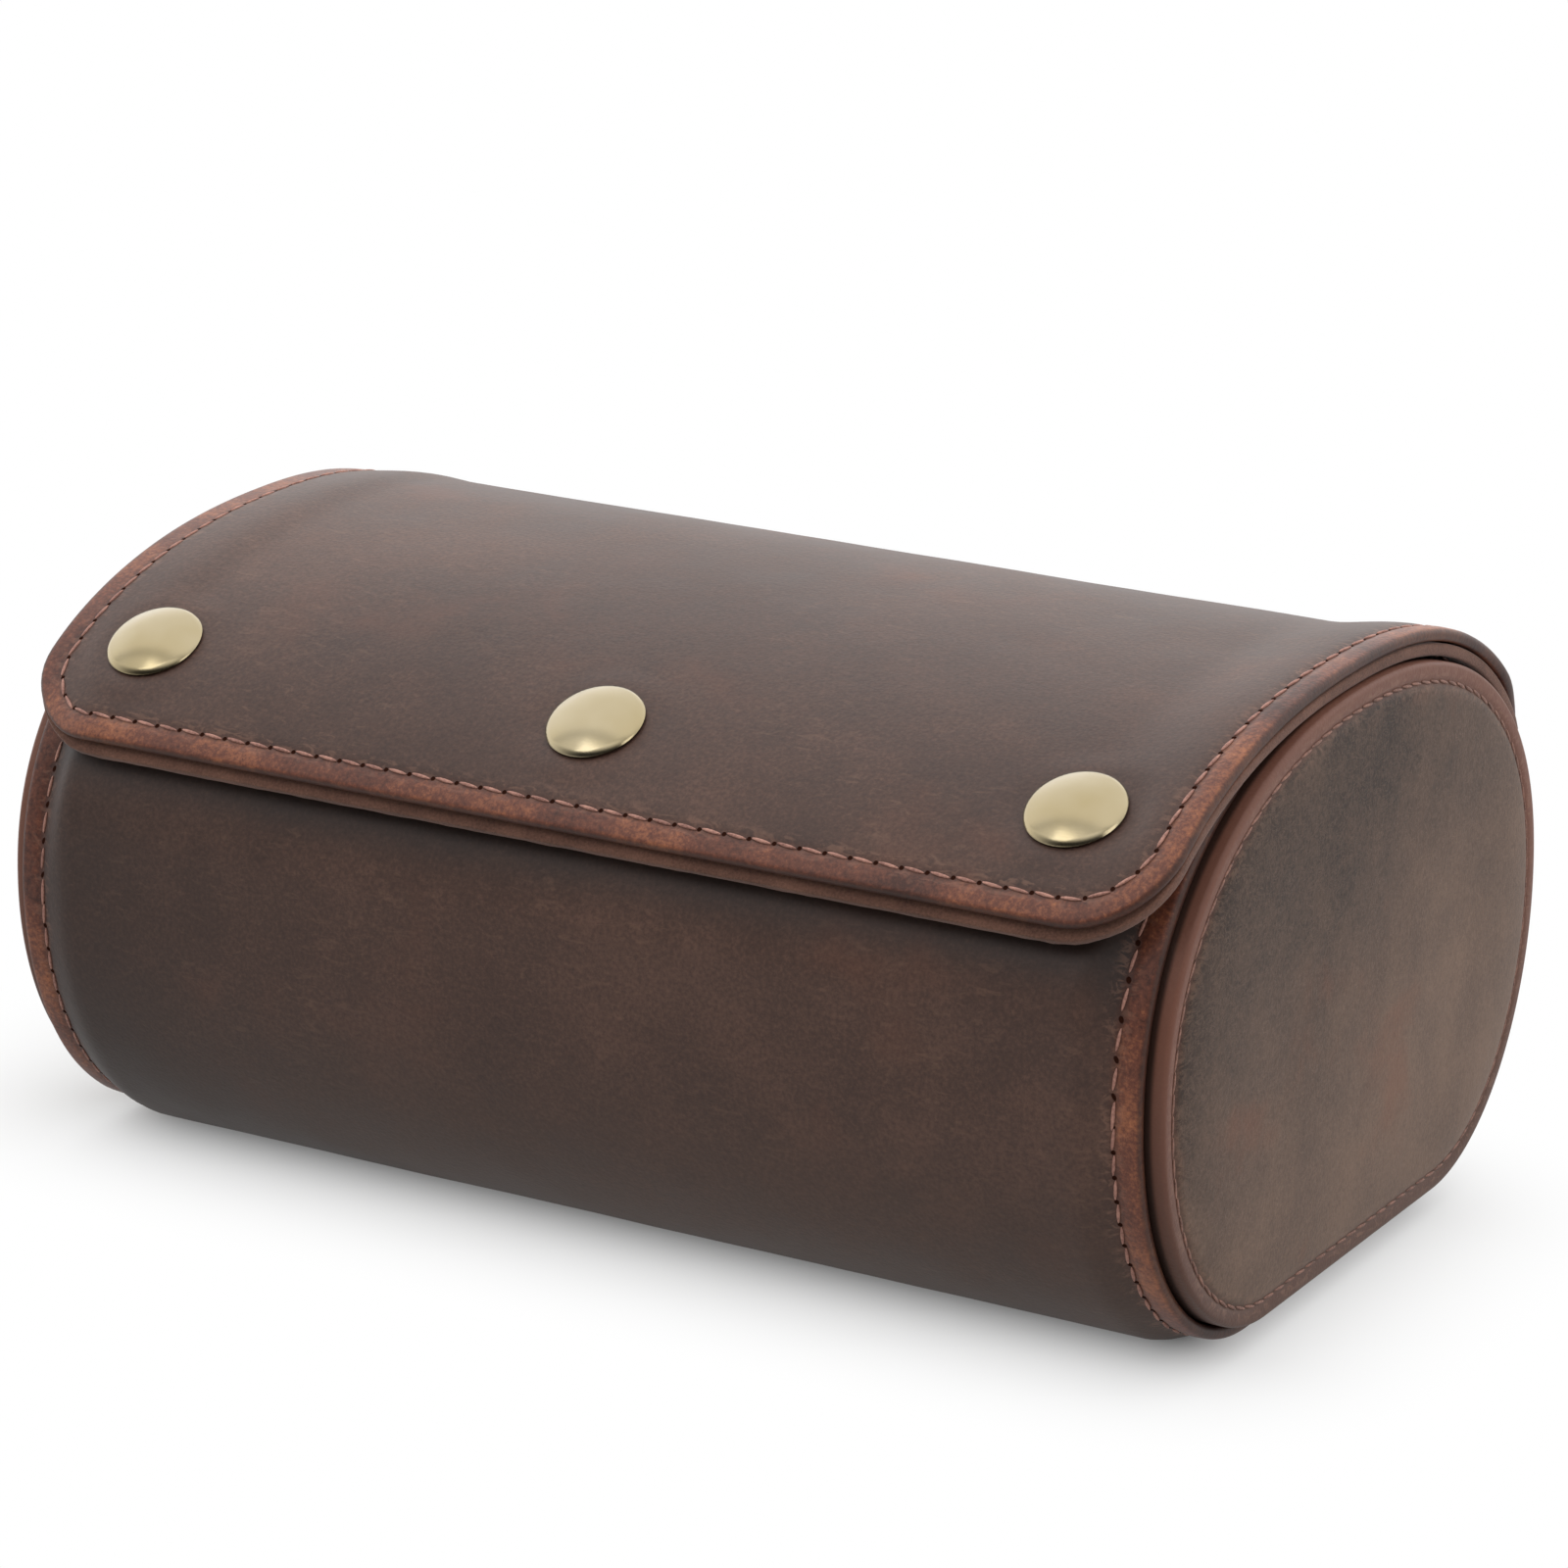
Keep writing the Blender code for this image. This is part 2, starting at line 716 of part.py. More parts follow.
def main():
    clear_scene()
    leather = material("brown pull-up leather", (0.085, 0.048, 0.034), 0.45)
    end_leather = material("greyer brown leather", (0.095, 0.062, 0.047), 0.50)
    suede = material("brown microsuede", (0.130, 0.075, 0.055), 0.90)
    board = material("grey board", (0.260, 0.240, 0.210), 0.85)
    foam = material("pale foam", (0.620, 0.600, 0.540), 0.90)
    brass = material("antique brass", (0.620, 0.530, 0.300), 0.28, 1.0)
    steel = material("plated steel", (0.560, 0.520, 0.440), 0.35, 1.0)

    hinge = axis_empty("flap_hinge", hinge_axis)
    wall_parts = make_wrap(leather, board, suede)
    flap_parts = make_flap(leather, suede, hinge)
    for side, word in ((-1, "left"), (1, "right")):
        make_panel(side, word, end_leather, foam, board, suede)
        make_divider(word, side * divider_place, suede)
    for turn, word in ((-1, "left"), (0, "middle"), (1, "right")):
        make_pillow(word, turn * chamber_place, suede, foam)
    make_snaps(brass, steel, hinge, flap_parts, wall_parts)


main()
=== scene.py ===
# Looks of the three-watch leather roll: leather cut flat and bent, suede, stitches, snaps and cushions
import bpy
import math
import numpy as np
from mathutils import Matrix, Vector, noise


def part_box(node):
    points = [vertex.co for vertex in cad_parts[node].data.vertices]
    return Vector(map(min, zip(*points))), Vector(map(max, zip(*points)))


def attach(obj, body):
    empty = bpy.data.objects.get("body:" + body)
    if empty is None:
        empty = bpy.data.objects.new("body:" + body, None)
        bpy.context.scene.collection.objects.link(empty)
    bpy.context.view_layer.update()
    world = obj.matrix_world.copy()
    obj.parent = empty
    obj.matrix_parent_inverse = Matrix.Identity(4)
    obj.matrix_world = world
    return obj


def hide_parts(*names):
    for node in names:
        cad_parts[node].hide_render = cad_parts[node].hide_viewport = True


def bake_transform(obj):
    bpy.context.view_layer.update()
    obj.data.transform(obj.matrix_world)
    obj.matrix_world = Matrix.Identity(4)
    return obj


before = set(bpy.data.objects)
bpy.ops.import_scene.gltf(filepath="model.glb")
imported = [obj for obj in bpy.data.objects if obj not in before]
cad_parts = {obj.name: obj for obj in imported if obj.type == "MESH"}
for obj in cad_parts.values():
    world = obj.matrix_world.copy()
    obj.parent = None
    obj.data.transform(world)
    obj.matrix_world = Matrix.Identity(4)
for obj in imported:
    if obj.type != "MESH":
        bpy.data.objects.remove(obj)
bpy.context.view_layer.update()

# The roll's own measures, read from the frame where it shows them (metres)
panelLow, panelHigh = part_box("end_leather_right")
roll = {
    "panelHalf": panelHigh.y,                  # half the panel, front to back
    "panelHeight": panelHigh.z - panelLow.z,
    "panelInner": panelLow.x,
    "panelFace": panelHigh.x - 0.0012 * (1 - math.exp(-4.0)),  # the border's plane, under the puffed middle
    "base": panelLow.z,                        # floor to the panel's lower edge
    "panelFlat": 0.0560,
    "panelBelly": 0.0410,
    "crownPower": 2.2,
    "leather": 0.0019,
    "fit": 0.0003,
}
print("frame read, panels", [round(v * 1000, 1) for v in (roll["panelHalf"], roll["panelHeight"])], "mm")


# Small helpers for numbers

def ease(share):
    share = np.clip(share, 0, 1)
    return share * share * (3 - 2 * share)


def between(low, high, value):  # eased from 0 at low to 1 at high
    return ease((value - low) / (high - low))


def signedPower(value, power):
    return np.sign(value) * np.abs(value) ** power


def unit(rows):  # each row scaled to length 1
    return rows / np.linalg.norm(rows, axis=1)[:, None]


def softNoise(points, scale, seed):  # one smooth value from -1 to 1 for each point
    shift = Vector((seed * 7.1, seed * 3.7, seed * 1.9))
    return np.array([noise.noise(Vector(p) * scale + shift) for p in points])


# Small helpers for meshes

def deselectAll():
    if bpy.context.object and bpy.context.object.mode != "OBJECT":
        bpy.ops.object.mode_set(mode="OBJECT")
    bpy.ops.object.select_all(action="DESELECT")


def pick(piece):
    deselectAll()
    piece.select_set(True)
    bpy.context.view_layer.objects.active = piece
    return piece


def points(piece):
    found = np.zeros(len(piece.data.vertices) * 3)
    piece.data.vertices.foreach_get("co", found)
    return found.reshape(-1, 3)


def setPoints(piece, places):
    piece.data.vertices.foreach_set("co", np.asarray(places, float).ravel())
    piece.data.update()


def named(name):  # the object just made, under its own name
    piece = bpy.context.object
    piece.name = piece.data.name = name
    return piece


def addGrid(name, across, along):  # a flat grid, with the column and row of each of its points
    deselectAll()
    bpy.ops.mesh.primitive_grid_add(x_subdivisions=across, y_subdivisions=along,
                                    size=1, location=(0.5, 0.5, 0))
    piece = named(name)
    bpy.ops.object.transform_apply(location=True)
    share = points(piece)
    return piece, np.round(share[:, 0] * across).astype(int), np.round(share[:, 1] * along).astype(int)


def applyAll(piece):
    pick(piece)
    for modifier in list(piece.modifiers):
        bpy.ops.object.modifier_apply(modifier=modifier.name)


def editAll(piece):  # edit mode, with all of the piece selected
    pick(piece)
    bpy.ops.object.mode_set(mode="EDIT")
    bpy.ops.mesh.select_all(action="SELECT")


def mergeClose(piece, distance=0.00001):
    editAll(piece)
    bpy.ops.mesh.remove_doubles(threshold=distance)
    bpy.ops.mesh.normals_make_consistent(inside=False)
    bpy.ops.object.mode_set(mode="OBJECT")


def smoothShade(piece, angle=40):
    pick(piece)
    bpy.ops.object.shade_smooth_by_angle(angle=math.radians(angle))


def setAttribute(piece, name, values):
    made = piece.data.attributes.new(name, "FLOAT", "POINT")
    made.data.foreach_set("value", np.asarray(values, np.float32))


def copyPiece(piece, name):
    made = piece.copy()
    made.data = piece.data.copy()
    made.name = made.data.name = name
    bpy.context.scene.collection.objects.link(made)
    return made


def joinPieces(name, parts):
    deselectAll()
    for part in parts:
        part.select_set(True)
    bpy.context.view_layer.objects.active = parts[0]
    bpy.ops.object.join()
    return named(name)


def dress(piece, material):
    piece.data.materials.clear()
    piece.data.materials.append(material)
    return piece


def assign(piece, finish, slot, body, *nodes):  # its finish, the body it moves with, the nodes it stands for
    dress(piece, finish)
    if body == "hinge":  # back wall and flap bend at the hinge; they get no body here, only their places baked in
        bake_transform(piece)
    else:
        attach(piece, body)
    if nodes:
        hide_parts(*nodes)


# Shader maths as expressions

class Flow:
    def __init__(self, finish, socket):
        self.finish = finish
        self.socket = socket

    def maths(self, operation, *others, swap=False):
        values = [self, *others]
        if swap:
            values = values[::-1]
        return self.finish.node("ShaderNodeMath", {"operation": operation}, dict(enumerate(values)))

    def __add__(self, other): return self.maths("ADD", other)
    def __radd__(self, other): return self.maths("ADD", other)
    def __sub__(self, other): return self.maths("SUBTRACT", other)
    def __rsub__(self, other): return self.maths("SUBTRACT", other, swap=True)
    def __mul__(self, other): return self.maths("MULTIPLY", other)
    def __rmul__(self, other): return self.maths("MULTIPLY", other)
    def __truediv__(self, other): return self.maths("DIVIDE", other)
    def __rtruediv__(self, other): return self.maths("DIVIDE", other, swap=True)
    def absolute(self): return self.maths("ABSOLUTE")
    def least(self, other): return self.maths("MINIMUM", other)
    def most(self, other): return self.maths("MAXIMUM", other)
    def fraction(self): return self.maths("FRACT")
    def root(self): return self.maths("SQRT")

    def rise(self, low, high):  # eased from 0 at low to 1 at high, also with low above high
        return self.finish.node("ShaderNodeMapRange", {"interpolation_type": "SMOOTHSTEP"},
                                {"Value": self, "From Min": low, "From Max": high})


class Nodes:
    def __init__(self, tree):
        self.tree = tree

    def node(self, kind, settings=None, inputs=None, output=0):  # no output is given for a last node
        made = self.tree.nodes.new(kind)
        for key, value in (settings or {}).items():
            if key == "stops":
                self.fillRamp(made.color_ramp, value)
            else:
                setattr(made, key, value)
        for key, value in (inputs or {}).items():
            self.feed(made.inputs[key], value)
        return None if output is None else Flow(self, made.outputs[output])

    def feed(self, socket, value):
        if isinstance(value, Flow):
            self.tree.links.new(value.socket, socket)
        else:
            socket.default_value = value

    def fillRamp(self, ramp, stops):
        while len(ramp.elements) < len(stops):
            ramp.elements.new(0.5)
        for element, (place, colour) in zip(ramp.elements, stops):
            element.position = place
            element.color = colour

    def ramp(self, value, *stops):
        return self.node("ShaderNodeValToRGB", {"stops": stops}, {"Fac": value})

    def place(self, stretch=(1, 1, 1), turn=(0, 0, 0), shift=(0, 0, 0)):
        spot = self.node("ShaderNodeTexCoord", output="Object")
        return self.node("ShaderNodeMapping", inputs={
            "Vector": spot, "Scale": stretch, "Rotation": turn, "Location": shift})

    def cloud(self, scale, detail=3, roughness=0.5, distortion=0, where=None):
        return self.node("ShaderNodeTexNoise", inputs={
            "Vector": where or self.place(), "Scale": scale, "Detail": detail,
            "Roughness": roughness, "Distortion": distortion})

    def cells(self, scale, where=None):
        return self.node("ShaderNodeTexVoronoi", inputs={"Vector": where or self.place(), "Scale": scale})

    def axis(self, name, where=None):
        return self.node("ShaderNodeSeparateXYZ", inputs={0: where or self.place()}, output=name)

    def attribute(self, name):
        return self.node("ShaderNodeAttribute", {"attribute_name": name}, output="Fac")

    def ray(self, name):
        return self.node("ShaderNodeLightPath", output=name)

    def blend(self, share, first, second):
        mix = self.tree.nodes.new("ShaderNodeMix")
        mix.data_type = "RGBA"
        for key, value in ((0, share), (6, first), (7, second)):
            self.feed(mix.inputs[key], value)
        return Flow(self, mix.outputs[2])

    def coats(self, colour, *layers):  # each layer's mask and colour, over what lies below it
        for mask, over in layers:
            colour = self.blend(mask, colour, over)
        return colour

    def bump(self, height, distance, strength):
        return self.node("ShaderNodeBump", inputs={
            "Height": height, "Distance": distance, "Strength": strength})


class Finish(Nodes):
    def __init__(self, name, **constants):
        self.material = bpy.data.materials.new(name)
        self.material.use_nodes = True
        super().__init__(self.material.node_tree)
        self.shader = self.tree.nodes["Principled BSDF"]
        self.show(**constants)

    def show(self, **feeds):
        for socket, value in feeds.items():
            self.feed(self.shader.inputs[socket.replace("_", " ")], value)
        return self.material

    def cover(self, share, other):  # another shader over the main one
        main = Flow(self, self.shader.outputs[0])
        mixed = self.node("ShaderNodeMixShader", inputs={0: share, 1: main, 2: other})
        self.tree.links.new(mixed.socket, self.tree.nodes["Material Output"].inputs["Surface"])
        return self.material


def paint(red, green, blue):  # a screen colour from 0 to 255 as the shader's linear one
    scaled = [value / 255 for value in (red, green, blue)]
    return tuple(v / 12.92 if v <= 0.04045 else ((v + 0.055) / 1.055) ** 2.4 for v in scaled) + (1,)


# Camera, floor and light

view = {"lens": 140.06, "place": (0.45167, -0.75923, 0.35019), "azimuth": 30.687, "elevation": 18.167}


def makeCamera():
    bpy.ops.object.camera_add(location=view["place"])
    camera = bpy.context.object
    camera.data.lens = view["lens"]
    camera.data.sensor_width = 36
    camera.data.clip_start = 0.01
    camera.rotation_euler = (math.radians(90 - view["elevation"]), 0, math.radians(view["azimuth"]))
    bpy.context.scene.camera = camera


studio = {
    "floorSize": 8.0, "floorColour": (0.56, 0.56, 0.555, 1),
    "footHalf": (0.094, 0.028), "shadow": 0.046,   # the shadow fades to plain white within this of the foot
    "shadowShift": (0.009, 0.003, 0),              # it lies to the left and in front
    "worldTop": 1.95, "worldBack": 2.05, "worldFront": 0.04, "gap": 0.38, "gapAt": 0.34,
    "lamps": (  # place, aim, size, watts
        ((1.20, -0.25, 0.60), (0, 0, 0.05), 0.6, 2.6),
        ((-0.22, -0.66, 0.80), (0, 0, 0.08), 0.40, 1.1),
    ),
}


def makeFloor():
    deselectAll()
    bpy.ops.mesh.primitive_plane_add(size=studio["floorSize"], location=(0, 0, 0))
    finish = Finish("pale studio floor", Roughness=0.9, Specular_IOR_Level=0.1,
                    Base_Color=studio["floorColour"])
    away = finish.place(shift=studio["shadowShift"])
    steps = (("ABSOLUTE", {}), ("SUBTRACT", {1: (*studio["footHalf"], 0)}), ("MAXIMUM", {1: (0, 0, 0)}))
    for operation, other in steps:
        away = finish.node("ShaderNodeVectorMath", {"operation": operation}, {0: away, **other})
    away = finish.node("ShaderNodeVectorMath", {"operation": "LENGTH"}, {0: away}, output="Value")
    shade = 1 - (away / studio["shadow"]).least(1)
    seen = finish.ray("Is Camera Ray")
    for name in ("Is Glossy Ray", "Is Transmission Ray"):
        seen = seen.most(finish.ray(name))
    white = finish.node("ShaderNodeEmission", inputs={"Color": (1, 1, 1, 1), "Strength": 1.0})
    dress(named("floor"), finish.cover((1 - shade * shade) * seen, white))


def makeWorld():
    world = bpy.data.worlds.new("studio")
    bpy.context.scene.world = world
    world.use_nodes = True
    sky = Nodes(world.node_tree)
    sky.tree.nodes.clear()
    spot = sky.node("ShaderNodeTexCoord", output="Generated")
    up = sky.axis("Z", spot)
    back = sky.axis("Y", spot) - 0.45 * sky.axis("X", spot)
    side = studio["worldFront"] + back.rise(-0.9, 0.5) * (studio["worldBack"] - studio["worldFront"])
    lit = side + up.rise(0.34, 0.90) * (studio["worldTop"] - side)
    forward = 0 - sky.axis("Y", spot) / up.most(0.1)
    dark = (forward - studio["gapAt"]).absolute().rise(0.15, 0.04) * up.rise(0.4, 0.5)
    lit = lit * (1 - dark * studio["gap"])   # the gap between two soft lights, seen in the caps
    strength = lit + sky.ray("Is Camera Ray") * (1 - lit)
    shown = sky.node("ShaderNodeBackground", inputs={"Color": (1, 1, 1, 1), "Strength": strength})
    sky.node("ShaderNodeOutputWorld", inputs={0: shown}, output=None)


def makeLamps():
    for place, aim, size, watts in studio["lamps"]:
        deselectAll()
        bpy.ops.object.light_add(type="AREA", location=place)
        lamp = bpy.context.object
        lamp.data.size = size
        lamp.data.energy = watts
        lamp.rotation_euler = (Vector(aim) - Vector(place)).to_track_quat("-Z", "Y").to_euler()


bpy.context.scene.view_settings.view_transform = "Standard"
makeCamera()
makeFloor()
makeWorld()
makeLamps()
print("camera, floor and light made")


# Outlines across the roll, each a row of y, z and outward normal

def arch(half, level, rise, power, angles):  # from the back over the top to the front
    c, s = np.cos(angles), np.clip(np.sin(angles), 0, None)
    y = half * signedPower(c, 2 / power)
    z = level + rise * s ** (2 / power)
    normal = np.stack([signedPower(c, 2 - 2 / power) / half, s ** (2 - 2 / power) / rise], 1)
    return np.column_stack([y, z, unit(normal)])


def foot(side, angles):  # rounded lower corner, from the flat up to the widest level
    half, flat, belly = roll["panelHalf"], roll["panelFlat"] / 2, roll["panelBelly"]
    run = half - flat
    normal = np.stack([side * np.sin(angles) / run, -np.cos(angles) / belly], 1)
    y = side * (flat + run * np.sin(angles))
    return np.column_stack([y, belly * (1 - np.cos(angles)), unit(normal)])


def angleAtSide(half, power, reach):
    return math.pi - math.acos((reach / half) ** (power / 2))


def angleAtLevel(level, rise, power, height):
    return math.asin(((height - level) / rise) ** (power / 2))


def offset(rows, distance):
    moved = rows.copy()
    moved[:, :2] += rows[:, 2:] * distance
    return moved


panelRise = roll["panelHeight"] - roll["panelBelly"]


def panelArch(start, end, count):
    angles = np.linspace(start, end, count)
    return arch(roll["panelHalf"], roll["panelBelly"], panelRise, roll["crownPower"], angles)


def feet(count):  # from the front's widest level under the roll to the back's
    flat = roll["panelFlat"] / 2
    y = np.linspace(-flat, flat, count)[1:-1]
    floorLine = np.column_stack([y, y * 0, y * 0, y * 0 - 1])
    return np.vstack([foot(-1, np.linspace(math.pi / 2, 0, count)), floorLine,
                      foot(1, np.linspace(0, math.pi / 2, count))])


def wayAlong(rows):
    return np.concatenate([[0], np.cumsum(np.linalg.norm(np.diff(rows[:, :2], axis=0), axis=1))])


def rowsAt(wanted, way, rows):
    return np.column_stack([np.interp(wanted, way, rows[:, i]) for i in range(4)])


def evenly(rows, count):
    way = wayAlong(rows)
    return rowsAt(np.linspace(0, way[-1], count), way, rows)


def panelOutline(count):  # once round and closed, equally spaced, from the back's widest level over the top
    rows = np.vstack([panelArch(0, math.pi, 600), feet(300)[1:-1]])
    closed = np.vstack([rows, rows[:1]])
    return evenly(closed, count + 1), wayAlong(closed)[-1]


# The strap: front wall, bottom, back wall and flap are one leather, so one row of outlines

strap = {
    "wrapHalf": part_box("wrap_leather")[1].x,
    "flapHalf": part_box("flap_leather")[1].x,
    "lapOut": 0.0022, "bodyOut": 0.0041,
    "wrapShoulder": 0.0065, "flapShoulder": 0.0160,
    "mouthFront": 0.0334, "hingeLevel": 0.0620, "wallLevel": 0.0502, "wallPower": 2.4,
    "flapEndHalf": 0.0704, "flapMidHalf": 0.0718, "flapEndLevel": 0.0533, "flapMidLevel": 0.0513,
    "endCrown": 0.0919, "midCrown": 0.0899, "backPower": 2.3, "frontPower": 2.2,
    "lipLevel": 0.0685, "corner": 0.0150,
    "settle": 0.006,       # over which the back wall eases into the flap
    "pressed": 0.0024, "drawn": 0.0015,   # the flap's left end lies flatter and shorter
    "pressFrom": (0.080, 0.004), "pressTo": (0.096, 0.020),   # out from the middle, on from the hinge
    "beyond": 0.005,       # the outlines run on past the lip
    "seamInset": 0.0041, "mouthSeam": 0.0040, "stitchPitch": 0.0041,
}
flapThick = 0.0041
wallThick = 0.0036
wallRows = 119   # outline rows on the front wall
snaps = {
    "spacing": 0.0785, "reach": 0.0514, "gap": 0.0028,
    "seatFrom": 0.0076, "seatTo": 0.0125, "sink": 0.0002, "segments": 64,
    "seatPull": 0.004,   # layers further than this from a seat's level are left alone
}


def snapRow():  # the snaps' place and axis on the flap's arch
    angle = angleAtSide(strap["flapMidHalf"], strap["frontPower"], snaps["reach"])
    return arch(strap["flapMidHalf"], strap["flapMidLevel"], strap["midCrown"] - strap["flapMidLevel"],
                strap["frontPower"], np.array([angle]))[0]


def wallRise():  # the front wall passes under the snaps at their gap
    y, z = offset(snapRow()[None], -flapThick - snaps["gap"])[0, :2]
    half, power = roll["panelHalf"] + strap["bodyOut"], strap["wallPower"]
    return (z - strap["wallLevel"]) / (1 - (-y / half) ** power) ** (1 / power)


def wrapLines():
    start = angleAtSide(roll["panelHalf"], roll["crownPower"], strap["mouthFront"])
    stop = angleAtLevel(roll["panelBelly"], panelRise, roll["crownPower"], strap["hingeLevel"])
    lower = np.vstack([feet(60), panelArch(0, stop, 60)[1:]])
    end = offset(np.vstack([panelArch(start, math.pi, wallRows + 1)[:-1], lower]), strap["lapOut"])
    half, level, power = roll["panelHalf"] + strap["bodyOut"], strap["wallLevel"], strap["wallPower"]
    start = angleAtSide(half, power, strap["mouthFront"])
    wall = arch(half, level, wallRise(), power, np.linspace(start, math.pi, wallRows)[:-1])
    return end, np.vstack([wall, [[-half, level, -1, 0]], offset(lower, strap["bodyOut"])])


def flapLine(frontHalf, level, crown, power, hingePoint):
    rise, backPower = crown - roll["panelBelly"], strap["backPower"]
    share = ((hingePoint[1] - roll["panelBelly"]) / rise) ** backPower
    backHalf = hingePoint[0] / (1 - share) ** (1 / backPower)
    start = angleAtLevel(roll["panelBelly"], rise, backPower, hingePoint[1])
    stop = math.pi - angleAtLevel(level, crown - level, power, strap["lipLevel"])
    back = arch(backHalf, roll["panelBelly"], rise, backPower, np.linspace(start, math.pi / 2, 200))
    front = arch(frontHalf, level, crown - level, power, np.linspace(math.pi / 2, stop, 200))
    return np.vstack([back[:-1], front])


def settleKink(rows, way, place, reach):  # rounds off a kink in a row of outlines
    smooth = rows.copy()
    window = np.linspace(-1, 1, 41)
    weight = 1 - np.abs(window)
    for i in np.flatnonzero(np.abs(way - place) < 2.5 * reach):
        share = ease(1 - (abs(way[i] - place) / reach - 1) / 1.5)
        near = way[i] + window * reach * share
        smooth[i] = np.average(rowsAt(near, way, rows), axis=0, weights=weight)
    smooth[:, 2:] = unit(smooth[:, 2:])
    return smooth


def makeStrapLines():
    wrapEnd, wrapMid = wrapLines()
    hingePoint = wrapMid[-1, :2]
    end, mid = (np.vstack([wrap, evenly(flapLine(*(strap[key] for key in keys), hingePoint), 500)[1:]])
                for wrap, keys in ((wrapEnd, ("flapEndHalf", "flapEndLevel", "endCrown", "frontPower")),
                                   (wrapMid, ("flapMidHalf", "flapMidLevel", "midCrown", "frontPower"))))
    way = wayAlong(mid)
    hingeWay = wayAlong(wrapMid)[-1]
    end = settleKink(end, way, hingeWay, strap["settle"])
    mid = settleKink(mid, way, hingeWay, strap["settle"] / 2)
    beyond = strap["beyond"]
    end, mid = (np.vstack([rows, rows[-1] + (*(rows[-1] - rows[-2])[:2] / np.ptp(way[-2:]) * beyond, 0, 0)])
                for rows in (end, mid))
    return {"way": np.append(way, way[-1] + beyond), "end": end, "mid": mid, "hinge": hingeWay,
            "lip": way[-1], "hingePlace": Vector((0, hingePoint[0], hingePoint[1] + roll["base"]))}


lines = makeStrapLines()
print("strap outlines made, mouth to lip", round(lines["lip"] * 1000), "mm")


def strapPlace(x, way, depth):  # where a point of the flat strap comes to lie
    hinge = lines["hinge"]
    (fromX, fromWay), (toX, toWay) = strap["pressFrom"], strap["pressTo"]
    leftEnd = between(fromX, toX, -x) * between(fromWay, toWay, way - hinge)
    depth = depth + strap["pressed"] * leftEnd * (1 - depth / flapThick)   # its inner side stays
    x = x + strap["drawn"] * leftEnd
    shoulder = np.interp(way, (hinge - 0.01, hinge + 0.01), (strap["wrapShoulder"], strap["flapShoulder"]))
    share = ease((roll["panelInner"] - np.abs(x)) / shoulder)[:, None]
    end, mid = (rowsAt(way, lines["way"], lines[key]) for key in ("end", "mid"))
    row = end + (mid - end) * share
    places = row[:, :2] - unit(row[:, 2:]) * np.reshape(depth, (-1, 1))
    return np.column_stack([x, places[:, 0], places[:, 1] + roll["base"]])


def leatherHalf(way):
    overFlap = between(0, 0.016, way - lines["hinge"])
    return strap["wrapHalf"] + (strap["flapHalf"] - strap["wrapHalf"]) * overFlap


def suedeHalf(way):  # between the panels up to the hinge, over their rims beyond it
    inner = roll["panelInner"] - roll["fit"]
    outer = strap["flapHalf"] - 0.0005
    return inner + (outer - inner) * between(-0.001, 0.003, way - lines["hinge"])


hide = {
    "half": leatherHalf, "mouth": 0.0, "lip": lines["lip"], "corner": strap["corner"], "spacing": 0.0017,
    "steps": (0.0064, 0.0056, 0.0051, 0.0047, 0.0044, 0.0041, 0.0038, 0.0034, 0.0029, 0.0022, 0.0012, 0.0),
}
suedeCut = {
    "half": suedeHalf, "mouth": -0.0002, "lip": lines["lip"] + 0.0016, "corner": strap["corner"] + 0.0004,
    "spacing": 0.0024, "steps": (0.0059, 0.0046, 0.0039, 0.0036, 0.0033, 0.0026, 0.0014, 0.0),
}


def drawnIn(toLip, radius):  # how far a rounded corner draws the side in
    t = np.clip(toLip, 0, radius)
    return radius - np.sqrt(np.clip(radius ** 2 - (radius - t) ** 2, 0, None))


def cutFlat(name, cut):  # a flat cut with rounded lip corners: x across, y along the strap
    inner = cut["steps"][0]
    radius = cut["corner"] - inner
    start, stop = cut["mouth"] + inner, cut["lip"] - inner
    straight = np.linspace(start, stop - radius, int((stop - radius - start) / cut["spacing"]))
    rows = np.concatenate([straight, stop - radius + radius * np.sin(np.linspace(0, math.pi / 2, 15)[1:])])
    across = int(2 * cut["half"](0) / cut["spacing"])
    piece, column, row = addGrid(name, across, len(rows) - 1)
    way = rows[row]
    half = cut["half"](way) - inner - drawnIn(stop - way, radius)
    setPoints(piece, np.column_stack([(2 * column / across - 1) * half, way, way * 0]))
    pick(piece)
    bpy.ops.object.mode_set(mode="EDIT")
    bpy.ops.mesh.select_mode(type="EDGE")
    bpy.ops.mesh.select_all(action="DESELECT")
    bpy.ops.mesh.select_non_manifold()
    for now, then in zip(cut["steps"], cut["steps"][1:]):
        bpy.ops.mesh.extrude_edges_move()
        bpy.ops.object.mode_set(mode="OBJECT")
        growBorder(piece, cut, now, then)
        bpy.ops.object.mode_set(mode="EDIT")
    bpy.ops.object.mode_set(mode="OBJECT")
    return piece


def pastCorner(cut, x, way):  # how far out of the square that ends at the corner's middle
    return np.abs(x) - (cut["half"](way) - cut["corner"]), way - (cut["lip"] - cut["corner"])


